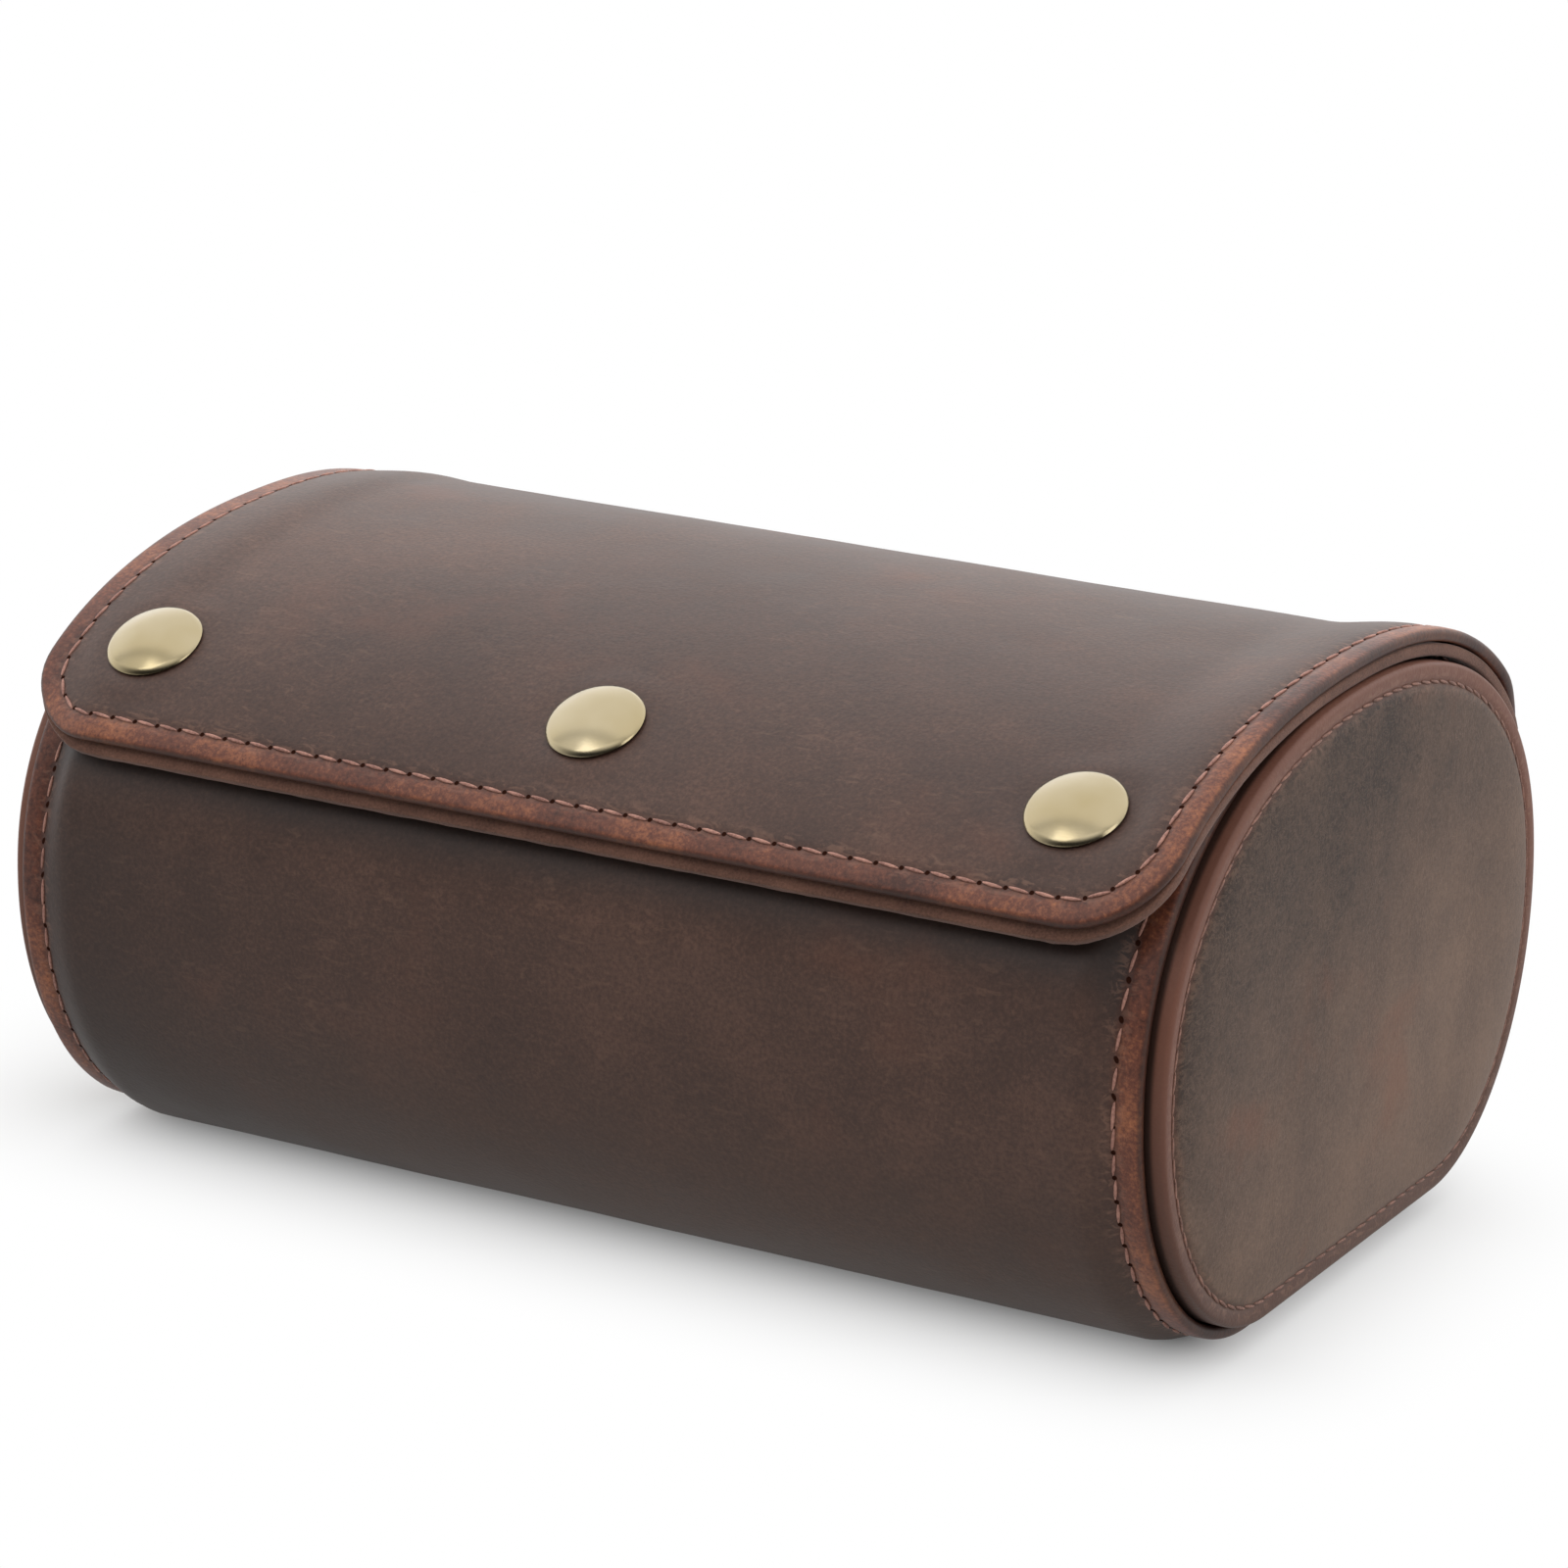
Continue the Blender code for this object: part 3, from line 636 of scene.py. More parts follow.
def growBorder(piece, cut, now, then):  # moves the selected border outwards, from one inset to the next
    flat = points(piece)
    chosen = np.zeros(len(flat), bool)
    piece.data.vertices.foreach_get("select", chosen)
    x, way = flat[chosen, 0], flat[chosen, 1]
    half = cut["half"](way)
    qx, qs = pastCorner(cut, x, way)
    turned = (qx > 1e-6) & (qs > 1e-6)
    close = 0.00002
    onSide = ~turned & (np.abs(half - np.abs(x) - now) < close)
    onLip = ~turned & (np.abs(cut["lip"] - way - now) < close)
    onMouth = np.abs(way - cut["mouth"] - now) < close
    length = np.where(turned, np.hypot(qx, qs), 1)
    outX = np.where(turned, qx / length, onSide * 1.0) * np.sign(x)
    outY = np.where(turned, qs / length, onLip * 1.0 - onMouth * 1.0)
    moved = way + outY * (now - then)
    flat[chosen, 0] = x + outX * (now - then) + np.sign(x) * onSide * (cut["half"](moved) - half)
    flat[chosen, 1] = moved
    setPoints(piece, flat)


def edgeInset(cut, x, way):
    qx, qs = pastCorner(cut, x, way)
    rounded = cut["corner"] - np.hypot(np.clip(qx, 0, None), np.clip(qs, 0, None))
    square = np.minimum(cut["half"](way) - np.abs(x), cut["lip"] - way)
    return np.minimum(np.where((qx > 0) & (qs > 0), rounded, square), way - cut["mouth"])


def thicken(piece, thick, roundness, side=-1):
    solid = piece.modifiers.new("thickness", "SOLIDIFY")
    solid.thickness = thick
    solid.offset = side
    edge = piece.modifiers.new("turned edge", "BEVEL")
    edge.width = roundness
    edge.segments = 3
    edge.limit_method = "ANGLE"
    edge.angle_limit = math.radians(50)
    applyAll(piece)


def splitAt(piece, way, frontName, backName):  # cuts the flat strap across, under the roll
    made = []
    for name, side in ((frontName, "clear_outer"), (backName, "clear_inner")):
        part = copyPiece(piece, name)
        editAll(part)
        bpy.ops.mesh.bisect(plane_co=(0, way, 0), plane_no=(0, 1, 0), use_fill=True, **{side: True})
        bpy.ops.object.mode_set(mode="OBJECT")
        made.append(part)
    bpy.data.objects.remove(piece)
    return made


# Stitch lines on the strap: round both sides and the lip, and along the mouth

def seamLength():  # from the mouth along a side and round the corner to the middle of the lip
    inset, corner = strap["seamInset"], strap["corner"]
    straight = lines["lip"] - corner - strap["mouthSeam"]
    return straight, (corner - inset) * math.pi / 2, strap["flapHalf"] - corner


def seamPoint(way):  # flat place of the right-hand stitch line and its direction
    straight, turn, lip = seamLength()
    inset, corner = strap["seamInset"], strap["corner"]
    if way < straight:
        along = strap["mouthSeam"] + way
        return float(leatherHalf(along)) - inset, along, (0, 1)
    if way < straight + turn:
        angle = (way - straight) / (corner - inset)
        reach = corner - inset
        x = strap["flapHalf"] - corner + reach * math.cos(angle)
        return x, lines["lip"] - corner + reach * math.sin(angle), (-math.sin(angle), math.cos(angle))
    return lip - (way - straight - turn), lines["lip"] - inset, (-1, 0)


seamCount = round(sum(seamLength()) / strap["stitchPitch"])
seamPitch = sum(seamLength()) / seamCount
mouthCount = round((strap["wrapHalf"] - strap["seamInset"]) / strap["stitchPitch"])
mouthPitch = (strap["wrapHalf"] - strap["seamInset"]) / mouthCount


def seamMarks(x, way):  # distance to the nearest stitch line, and the way along it in stitches
    straight, turn, lip = seamLength()
    inset, corner = strap["seamInset"], strap["corner"]
    qx, qs = pastCorner(hide, x, way)
    fromSide = leatherHalf(way) - np.abs(x)
    fromLip = lines["lip"] - way
    fromMouth = way - strap["mouthSeam"]
    turned = (qx > 0) & (qs > 0)
    reach = np.where(turned, corner - np.hypot(qx, qs), np.minimum(fromSide, fromLip)) - inset
    angle = np.arctan2(np.clip(qs, 0, None), np.clip(qx, 1e-9, None))
    along = np.where(turned, straight + (corner - inset) * angle,
                     np.where(fromLip < fromSide, straight + turn + lip - np.abs(x), fromMouth))
    mouth = (np.abs(fromMouth) < np.abs(reach)) & (way < 0.02)
    away = np.where(mouth, np.abs(fromMouth), np.abs(reach))
    return away, np.where(mouth, np.abs(x) / mouthPitch, along / seamPitch)


# The strap's two halves meet this far along it, under the roll and behind its middle
bottomRows = slice(150, 330)   # of the outlines
underFloor = float(np.interp(0.0, lines["mid"][bottomRows, 0], lines["way"][bottomRows])) + 0.0255
# painted shade on the front wall: strength and reach of a painted shadow under the flap's lip and of painted
# shade at its left end
paintedShade = {
    "under": 0.75, "underFrom": 0.005, "underTo": 0.016,   # painted shadow below the flap's lip
    "left": 0.50, "leftFrom": 0.020, "leftTo": 0.095, "leftFade": 0.030,
}


def darkDye(x, way):  # painted shade on the wall: a painted shadow below the flap's lip, and painted shade towards its left end
    lipWay = np.interp(-strap["lipLevel"], -lines["mid"][:wallRows, 1], lines["way"][:wallRows])
    under = 1 - between(paintedShade["underFrom"], paintedShade["underTo"], way - lipWay)
    above = 1 - between(underFloor - paintedShade["leftFade"], underFloor, way)
    left = between(paintedShade["leftFrom"], paintedShade["leftTo"], -x) * above
    return np.maximum(under * paintedShade["under"], left * paintedShade["left"])


def markSeams(piece, inset, away, along):  # what the leathers' finishes read
    for name, values in (("edgeInset", inset), ("seamAway", away), ("seamWay", along)):
        setAttribute(piece, name, values)


groove = {"depth": 0.00024, "width": 0.0009, "hole": 0.00038}
swell = {"height": 0.00012, "inset": 0.0022, "width": 0.0012}   # the soft band outside the stitches
waves = ((38, 1, 0.00010), (110, 2, 0.00004))                   # scale, seed and height of the unevenness


def shapeLeather(piece):  # sewn groove, soft band beside it and slight unevenness
    flat = points(piece)
    x, way = flat[:, 0], flat[:, 1]
    away, along = seamMarks(x, way)
    inset = edgeInset(hide, x, way)
    outer = 1 - np.clip(-flat[:, 2] / roll["leather"], 0, 1)
    sunk = groove["depth"] * np.exp(-(away / groove["width"]) ** 2)
    band = swell["height"] * np.exp(-((inset - swell["inset"]) / swell["width"]) ** 2)
    level = np.column_stack([x, way, x * 0])
    rough = sum(softNoise(level, scale, seed) * height for scale, seed, height in waves)
    flat[:, 2] += outer * (band - sunk + rough)
    markSeams(piece, inset, away, along)
    # painted shade for the front wall, kept as a point attribute for its finish
    setAttribute(piece, "darkDye", darkDye(x, way))
    return flat, -flat[:, 2]


def snapFrame():
    row = snapRow()
    return Vector((0, row[0], row[1] + roll["base"])), Vector((0, row[2], row[3]))


snapPlace, snapNormal = snapFrame()


def pressSeats(places, depth, outerLevel):  # the layers lie flat round each snap
    normal = np.array(snapNormal)
    for turn in (-1, 0, 1):
        middle = np.array(snapPlace) + (turn * snaps["spacing"], 0, 0)
        away = places - middle
        height = away @ normal
        radius = np.linalg.norm(away - height[:, None] * normal, axis=1)
        wanted = outerLevel - depth - snaps["sink"]
        share = 1 - between(snaps["seatFrom"], snaps["seatTo"], radius)
        share = share * (np.abs(height - wanted) < snaps["seatPull"])
        places = places + ((wanted - height) * share)[:, None] * normal
    return places


wallLevel = -flapThick - snaps["gap"]


bendReach = Vector((0, -0.3, 0.95)).normalized() * 0.010
bendFrom, bendTo = lines["hingePlace"] - bendReach, lines["hingePlace"] + bendReach


def makeStrap(word, cut, thick, roundness, shape, finish, slot, nodes):  # cut flat, shaped, then bent
    whole = cutFlat(word + "_strap", cut)
    thicken(whole, thick, roundness)
    front, back = splitAt(whole, underFloor, word + "_front", word + "_back")
    for piece, level, body, replaced in ((front, wallLevel, "case", nodes[:1]), (back, 0, "hinge", nodes)):
        flat, depth = shape(piece)
        setPoints(piece, pressSeats(strapPlace(flat[:, 0], flat[:, 1], depth), depth, level))
        smoothShade(piece)
        assign(piece, finish, slot, body, *replaced)
    print(word, "strap cut, shaped and bent")


lining = {
    "wallTop": 0.0031, "wallThick": 0.0005, "flapTop": 0.0022, "flapThick": 0.0019, "mouthTop": 0.0020,
    "atHinge": (-0.006, 0.004), "atMouth": (0.0004, 0.0022),   # where its depth changes, along the strap
    "ragged": 0.00012, "raggedFrom": 0.004,                    # the lip's fuzz and how far in it begins
    "pull": 0.0002, "pullWidth": 0.0012,                       # drawn in along the stitches
}


def suedeDepth(way, share):  # share 0 at the side glued to the leather, 1 at the open side
    overHinge = between(*lining["atHinge"], way - lines["hinge"])
    overMouth = 1 - between(*lining["atMouth"], way)
    top = lining["wallTop"] + (lining["flapTop"] - lining["wallTop"]) * overHinge
    low = top + lining["wallThick"] + (lining["flapThick"] - lining["wallThick"]) * overHinge
    top = top + (lining["mouthTop"] - lining["wallTop"]) * overMouth
    return top + (low - top) * share


def shapeSuede(piece):  # a ragged lip, and pulled in a little along the stitches
    flat = points(piece)
    ragged = softNoise(flat * (1, 0.2, 1), 700, 5) * lining["ragged"]
    flat[:, 1] += ragged * between(suedeCut["lip"] - lining["raggedFrom"], suedeCut["lip"], flat[:, 1])
    away = seamMarks(flat[:, 0], flat[:, 1])[0]
    share = np.clip(-flat[:, 2] / lining["flapThick"], 0, 1)
    pull = lining["pull"] * np.exp(-(away / lining["pullWidth"]) ** 2)
    return flat, suedeDepth(flat[:, 1], share) - share * pull


# Stitches: one bead of thread for each, laid along the stitch lines

thread = {
    "length": 0.0034, "width": 0.00058, "height": 0.00050, "slant": 6, "proud": 0.00008,
    "insideProud": 0.0001, "insideFrom": 0.008,   # on the suede, from this far past the hinge
}


def sew(name, spots):  # spots hold a place, the direction of the seam and the outward normal
    deselectAll()
    bpy.ops.mesh.primitive_uv_sphere_add(segments=6, ring_count=6, radius=1)
    row = named(name)
    rows = row.modifiers.new("row", "ARRAY")
    rows.use_relative_offset = False
    rows.count = len(spots)
    applyAll(row)
    bead = points(row).reshape(len(spots), -1, 3)
    size = (thread["width"] / 2, thread["height"] / 2, thread["length"] / 2)
    tilt = math.radians(thread["slant"])
    c, s = math.cos(tilt), math.sin(tilt)
    for i, (place, along, out) in enumerate(spots):
        out = np.array(out) / np.linalg.norm(out)
        along = np.array(along) - out * np.dot(along, out)
        along = along / np.linalg.norm(along)
        side = np.cross(along, out)
        turned = np.array([side * c - along * s, out, along * c + side * s])
        bead[i] = np.array(place) + (bead[i] * size) @ turned
    setPoints(row, bead.reshape(-1, 3))
    pick(row)
    bpy.ops.object.shade_smooth()
    return row


def strapSpot(x, way, direction, depth, level, inward):
    step = 0.0004
    xs = np.array([x, x + direction[0] * step, x + direction[1] * step])
    ways = np.array([way, way + direction[1] * step, way - direction[0] * step])
    places = pressSeats(strapPlace(xs, ways, np.full(3, depth)), np.full(3, depth), level)
    along = places[1] - places[0]
    out = np.cross(places[2] - places[0], along)
    above = strapPlace(xs[:1], ways[:1], np.array([depth - 0.001]))[0] - places[0]
    out = out if np.dot(out, above) > 0 else -out
    return places[0], along, -out if inward else out


def seamSpots(fromWay, toWay, depthAt, level, inward=False):
    spots = []
    for side in (-1, 1):
        for i in range(seamCount):
            x, way, direction = seamPoint((i + 0.5) * seamPitch)
            if fromWay <= way < toWay:
                direction = (side * direction[0], direction[1])
                spots.append(strapSpot(side * x, way, direction, depthAt(way), level, inward))
    return spots


def mouthSpots(depth, inward=False):
    middles = [(i + 0.5) * mouthPitch for i in range(-mouthCount, mouthCount)]
    return [strapSpot(x, strap["mouthSeam"], (1, 0), depth, wallLevel, inward) for x in middles]


def makeStrapThreads(finish):
    outer = groove["depth"] - thread["proud"]
    inside = lines["hinge"] + thread["insideFrom"]

    def topDepth(way):
        return outer

    def lowDepth(way):
        return float(suedeDepth(np.array([way]), 1)[0]) - thread["insideProud"]

    rows = {
        "thread_front": (seamSpots(0, underFloor, topDepth, wallLevel) + mouthSpots(outer), "case"),
        "thread_back": (seamSpots(underFloor, math.inf, topDepth, 0), "hinge"),
        "thread_inside_mouth": (mouthSpots(wallThick - thread["insideProud"], True), "case"),
        "thread_inside_flap": (seamSpots(inside, math.inf, lowDepth, 0, True), "hinge"),
    }
    for name, (spots, body) in rows.items():
        assign(sew(name, spots), finish, "body_leather", body)
    print("strap threads sewn", sum(len(spots) for spots, body in rows.values()), "stitches")


# End panels: leather turned over a board, puffed by foam inside the stitch line

panel = {
    "leather": 0.0013, "border": 0.0030, "dip": 0.00035, "dipWidth": 0.0007, "puff": 0.0012, "steepness": 4.0,
    "reachShare": 0.8, "round": 0.0008, "around": 380, "pitch": 0.0034, "middle": 0.47,
    "uneven": (45, 3, 0.00018), "unevenFrom": (0.003, 0.008),   # scale, seed and height; in from the edge
    "insets": (0.0012, 0.0016, 0.0020, 0.0023, 0.0026, 0.0028, 0.0030, 0.0032, 0.0034, 0.0037, 0.0041, 0.0046,
               0.0054, 0.0064, 0.0078, 0.0095, 0.0115, 0.0140, 0.0170, 0.0200),
    "middleShares": (0.86, 0.72, 0.58, 0.44, 0.30, 0.16, 0.0),
}
deepest = roll["panelFlat"] / 2 * panel["reachShare"]   # the innermost ring, drawn to the middle from there


def puffHeight(inset):
    share = np.clip((inset - panel["border"]) / (deepest - panel["border"]), 0, 1)
    return panel["puff"] * (1 - np.exp(-panel["steepness"] * share))


def panelProfile():  # rows of inset, place along X and how far the ring is drawn to the middle
    face, inner, thick, turned = roll["panelFace"], roll["panelInner"], panel["leather"], panel["round"]
    insets = list(panel["insets"]) + [deepest]
    back = face - thick
    rows = [(deepest, back + puffHeight(deepest), share) for share in panel["middleShares"][::-1]]
    rows += [(inset, back + puffHeight(inset), 1) for inset in insets[::-3] if inset > panel["border"]]
    rows += [(inset, x, 1) for inset, x in (
        (panel["border"], back), (thick, back), (thick, inner + 0.0002), (thick - 0.0002, inner),
        (0.0002, inner), (0, inner + 0.0002), (0, (inner + face) / 2))]
    for angle in np.linspace(0, math.pi / 2, 6):
        rows.append((turned * (1 - math.cos(angle)), face - turned * (1 - math.sin(angle)), 1))
    for inset in insets:
        dip = panel["dip"] * math.exp(-((inset - panel["border"]) / panel["dipWidth"]) ** 2)
        rows.append((inset, face + puffHeight(inset) - dip, 1))
    rows += [(deepest, face + puffHeight(deepest), share) for share in panel["middleShares"]]
    return rows


def makePanel(side, word, finish, threadFinish):
    rows = panelProfile()
    outline, length = panelOutline(panel["around"])
    piece, column, row = addGrid("panel_" + word, panel["around"], len(rows) - 1)
    inset, x, share = np.array(rows, float)[row].T
    around = outline[column]
    middle = roll["panelHeight"] * panel["middle"]
    y = (around[:, 0] - around[:, 2] * inset) * share
    z = (around[:, 1] - around[:, 3] * inset - middle) * share + middle + roll["base"]
    outside = x > roll["panelFace"] - 0.0002
    scale, seed, height = panel["uneven"]
    uneven = softNoise(np.column_stack([y, z, y * 0 + side]), scale, seed) * height
    uneven = uneven * outside * between(*panel["unevenFrom"], inset)
    setPoints(piece, np.column_stack([side * (x + uneven), y, z]))
    count = round(length / panel["pitch"])
    away = np.where(outside, np.abs(inset - panel["border"]), 0.02)
    markSeams(piece, np.where(share < 1, 0.03, inset), away, column / panel["around"] * count)
    mergeClose(piece)
    smoothShade(piece)
    assign(piece, finish, "end_leather", "case", "end_leather_" + word)
    ring = np.arange(panel["around"] + 1)
    at = (np.arange(count) + 0.5) / count * panel["around"]
    seam = rowsAt(at, ring, offset(outline, -panel["border"])) + (0, roll["base"], 0, 0)
    x = side * (roll["panelFace"] - panel["dip"] + thread["proud"])
    spots = [((x, y, z), (0, -normal[1], normal[0]), (side, 0, 0))
             for (y, z), normal in zip(seam[:, :2], outline[at.astype(int), 2:])]
    assign(sew("thread_panel_" + word, spots), threadFinish, "end_leather", "case")
    print("panel", word, "made with", count, "stitches")


# Snaps: cap and socket on the flap, stud and eyelet on the wall, all turned on a lathe

hardware = {
    "cap": 0.0075, "capRise": 0.0019, "rim": 0.0006, "post": 0.0019, "fit": 0.0003, "sink": 0.0003,
    "socket": 0.00575, "socketThick": 0.0018, "socketMouth": 0.0035,
    "stud": 0.0055, "studThick": 0.0006, "buttonBase": 0.0031, "buttonTop": 0.0017, "buttonRise": 0.0012,
    "hollow": 0.00085, "eyelet": 0.0055, "eyeletThick": 0.0007, "eyeletSag": 0.0005,
    "capRound": 0.00028, "socketRound": 0.0004, "smallRound": 0.0003, "postEnd": 0.0004,
}


def lathe(name, profile, segments):  # spins a closed profile of radius and height pairs round local Z
    deselectAll()
    bpy.ops.mesh.primitive_circle_add(vertices=len(profile), radius=0.01)
    piece = named(name)
    setPoints(piece, [(radius, 0, height) for radius, height in profile])
    editAll(piece)
    bpy.ops.mesh.spin(steps=segments, angle=2 * math.pi, center=(0, 0, 0), axis=(0, 0, 1))
    bpy.ops.object.mode_set(mode="OBJECT")
    mergeClose(piece)
    smoothShade(piece, 35)
    return piece


def corner(radius, height, size, start, count=4):  # quarter round of a profile, from the angle start on
    angles = np.radians(np.linspace(start, start + 90, count))
    return [(radius + size * math.cos(a), height + size * math.sin(a)) for a in angles]


def capProfile():
    h = hardware
    low = h["fit"] - h["sink"]
    rounded = h["capRound"]
    foot = h["postEnd"] - flapThick
    rows = [(0, foot), (h["post"], foot), (h["post"], low), (h["cap"] - rounded, low)]
    rows += corner(h["cap"] - rounded, low + rounded, rounded, -90)[1:]
    for share in np.linspace(0.955, 0, 14):
        rows.append((h["cap"] * share, low + h["rim"] + h["capRise"] * (1 - share ** 2)))
    return rows


def socketProfile():
    h = hardware
    top = h["sink"] - flapThick - h["fit"]
    low = top - h["socketThick"]
    bore, rounded, small = h["post"] + h["fit"], h["socketRound"], h["smallRound"]
    rows = [(bore, top)] + corner(h["socket"] - rounded, top - rounded, rounded, 0)[::-1]
    rows += corner(h["socket"] - rounded, low + rounded, rounded, -90)[::-1]
    rows += corner(h["socketMouth"] + small, low + small, small, 180)[::-1]
    waist = top - h["socketThick"] * 0.55
    return rows + [(h["socketMouth"] - 0.0002, waist), (bore, top - h["socketThick"] / 2)]


def studProfile():
    h = hardware
    low = wallLevel - h["sink"] + h["fit"]
    top = low + h["studThick"]
    bore, peak, neck, rounded = h["post"] + h["fit"], top + h["buttonRise"], h["buttonBase"], h["smallRound"]
    rows = [(bore, low), (h["stud"], low)] + corner(h["stud"] - rounded, top - rounded, rounded, 0)
    rows += [(neck + 0.0002, top), (neck, top + 0.0002), (neck - 0.0005, peak - 0.0005)]
    rows += corner(h["buttonTop"] - rounded, peak - rounded, rounded, 0)
    return rows + [(h["hollow"], peak), (h["hollow"], top), (bore, top - h["studThick"] / 2)]


def eyeletProfile():
    h = hardware
    top = wallLevel - wallThick - h["eyeletSag"] - h["fit"]
    low, out, hollow = top - h["eyeletThick"], h["eyelet"], h["hollow"]
    rows = [(0, low), (hollow, low), (hollow + 0.0004, low - 0.0002), (out - 0.0006, low)]
    rows += [(out - 0.0002, low + 0.0002), (out, low + 0.0005), (out, top), (h["post"], top)]
    return rows + [(h["post"], wallLevel), (0, wallLevel)]


def placeOnSnap(piece, turn):
    along = Vector((1, 0, 0))
    turnMatrix = Matrix((along, snapNormal.cross(along), snapNormal)).transposed().to_4x4()
    middle = snapPlace + Vector((turn * snaps["spacing"], 0, 0))
    piece.data.transform(Matrix.Translation(middle) @ turnMatrix)


def makeSnaps(brass, steel):
    kinds = {
        "cap": (capProfile(), brass, "antique_brass", "flap"),
        "socket": (socketProfile(), brass, "antique_brass", "flap"),
        "stud": (studProfile(), brass, "antique_brass", "case"),
        "eyelet": (eyeletProfile(), steel, "plated_steel", "case"),
    }
    for kind, (profile, *rest) in kinds.items():
        first = lathe("turned_" + kind, profile, snaps["segments"])
        for turn, word in ((-1, "left"), (0, "middle"), (1, "right")):
            piece = copyPiece(first, kind + "_" + word)
            placeOnSnap(piece, turn)
            assign(piece, *rest, "snap_" + kind + "_" + word)
        bpy.data.objects.remove(first)
    print("snaps turned and placed")


# Dividers: suede-covered boards with a dipped top edge

divider = {"top": 0.0560, "dip": 0.0070, "corner": 0.0100, "inset": 0.0002, "round": 0.0007}


def dividerOutline():
    turnFrom = divider["top"] - divider["corner"]
    stop = angleAtLevel(roll["panelBelly"], panelRise, roll["crownPower"], turnFrom)
    side = offset(panelArch(0, stop, 16), -divider["inset"])[:, :2]
    turn = np.linspace(0, math.pi / 2, 12)[1:]
    y, z = side[-1]
    rounded = np.column_stack([y - divider["corner"] * (1 - np.cos(turn)),
                               z + (divider["top"] - z) * np.sin(turn)])
    share = np.linspace(-1, 1, 50)[1:-1]
    dip = divider["dip"] * np.cos(share * math.pi / 2) ** 2
    top = np.column_stack([-share * rounded[-1, 0], divider["top"] - dip])
    back = np.vstack([side, rounded])
    return np.vstack([back, top, back[::-1] * (-1, 1), offset(feet(24)[1:-1], -divider["inset"])[:, :2]])


def makeDividers(finish):
    outline = dividerOutline()
    for word in ("left", "right"):
        low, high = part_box("divider_" + word)
        deselectAll()
        bpy.ops.mesh.primitive_circle_add(vertices=len(outline), radius=0.05, fill_type="NGON")
        piece = named("divider_suede_" + word)
        setPoints(piece, [(high.x, y, z + roll["base"]) for y, z in outline])
        mergeClose(piece, 0.0001)
        side = -1 if piece.data.polygons[0].normal.x > 0 else 1
        thicken(piece, high.x - low.x, divider["round"], side)
        mergeClose(piece)
        smoothShade(piece)
        assign(piece, finish, "suede", "case", "divider_" + word)
    print("dividers made")


# Cushions: one is blown up as cloth and copied, then gets its welted seams

cushion = {
    "length": 0.0543, "width": 0.0740, "height": 0.0500, "power": 2.6, "shrink": 0.93, "voxel": 0.0034,
    "pressure": 4.0, "frames": 20, "cap": 0.0045, "seamAt": 0.0225, "seamPull": 0.0009, "seamWidth": 0.0016,
    "weltRadius": 0.0007, "weltSides": 8, "weltOut": 0.35, "stiffness": 18, "fill": 0.7,
    "endsDrawn": 0.10, "sidesDrawn": 0.08, "pullFrom": (0.010, 0.018), "bed": 0.0012, "bedGive": 0.35,
}


def cushionSize():
    return np.array([cushion["length"], cushion["width"], cushion["height"]])


def cushionForm():  # rounded block whose ends are drawn in, a little smaller than the finished cushion
    deselectAll()
    bpy.ops.mesh.primitive_cube_add(size=2)
    form = named("cushion_form")
    editAll(form)
    bpy.ops.mesh.subdivide(number_cuts=14)
    bpy.ops.object.mode_set(mode="OBJECT")
    flat = points(form)
    along, power = np.abs(flat[:, 0]), cushion["power"]
    around = (np.abs(flat[:, 1:]) ** power).sum(1) ** (1 / power)
    flatEnd = np.abs(flat[:, 1:]).max(1)
    scale = np.where(around > 0, flatEnd / np.maximum(around, 1e-9), 1)
    flat[:, 0] *= 1 - cushion["endsDrawn"] * flatEnd ** 2 * (along > 0.999)
    flat[:, 1:] *= (scale * (1 - cushion["sidesDrawn"] * along ** 3))[:, None]
    setPoints(form, flat * cushionSize() / 2 * cushion["shrink"])
    return form


def blowUp(form):  # the cloth simulation, held within a cap and applied
    pick(form)
    form.data.remesh_voxel_size = cushion["voxel"]
    bpy.ops.object.voxel_remesh()
    rest = points(form)
    cloth = form.modifiers.new("stuffing", "CLOTH")
    cloth.settings.use_pressure = True
    cloth.settings.uniform_pressure_force = cushion["pressure"]
    cloth.settings.effector_weights.gravity = 0
    cloth.settings.tension_stiffness = cloth.settings.compression_stiffness = cushion["stiffness"]
    cloth.point_cache.frame_start = 1
    cloth.point_cache.frame_end = cushion["frames"]
    for now in range(1, cushion["frames"] + 1):
        bpy.context.scene.frame_set(now)
    bpy.ops.object.modifier_apply(modifier=cloth.name)
    bpy.context.scene.frame_set(1)
    blown = points(form)
    step = blown - rest
    length = np.linalg.norm(step, axis=1)[:, None]
    setPoints(form, rest + step * np.minimum(1, cushion["cap"] / np.maximum(length, 1e-9)))
    return form


def finishCushion(form):  # fits the blown form to its place, pulls in the seams and smooths it
    pick(form)
    smooth = form.modifiers.new("rounder", "SUBSURF")
    smooth.levels = smooth.render_levels = 1
    applyAll(form)
    found = points(form)
    low, high = found.min(0), found.max(0)
    found = (found - (low + high) / 2) * cushionSize() / (high - low)
    reach = np.abs(np.abs(found[:, 0]) - cushion["seamAt"])
    pull = cushion["seamPull"] * np.exp(-(reach / cushion["seamWidth"]) ** 2)
    radius = np.linalg.norm(found[:, 1:], axis=1)
    edge = between(*cushion["pullFrom"], radius)
    found[:, 1:] *= (1 - pull * edge / np.maximum(radius, 1e-9))[:, None]
    under = np.minimum(found[:, 2] + cushion["height"] / 2 - cushion["bed"], 0)
    found[:, 2] -= under * (1 - cushion["bedGive"])   # flatter where it lies
    setPoints(form, found)
    smoothShade(form, 60)
    return form


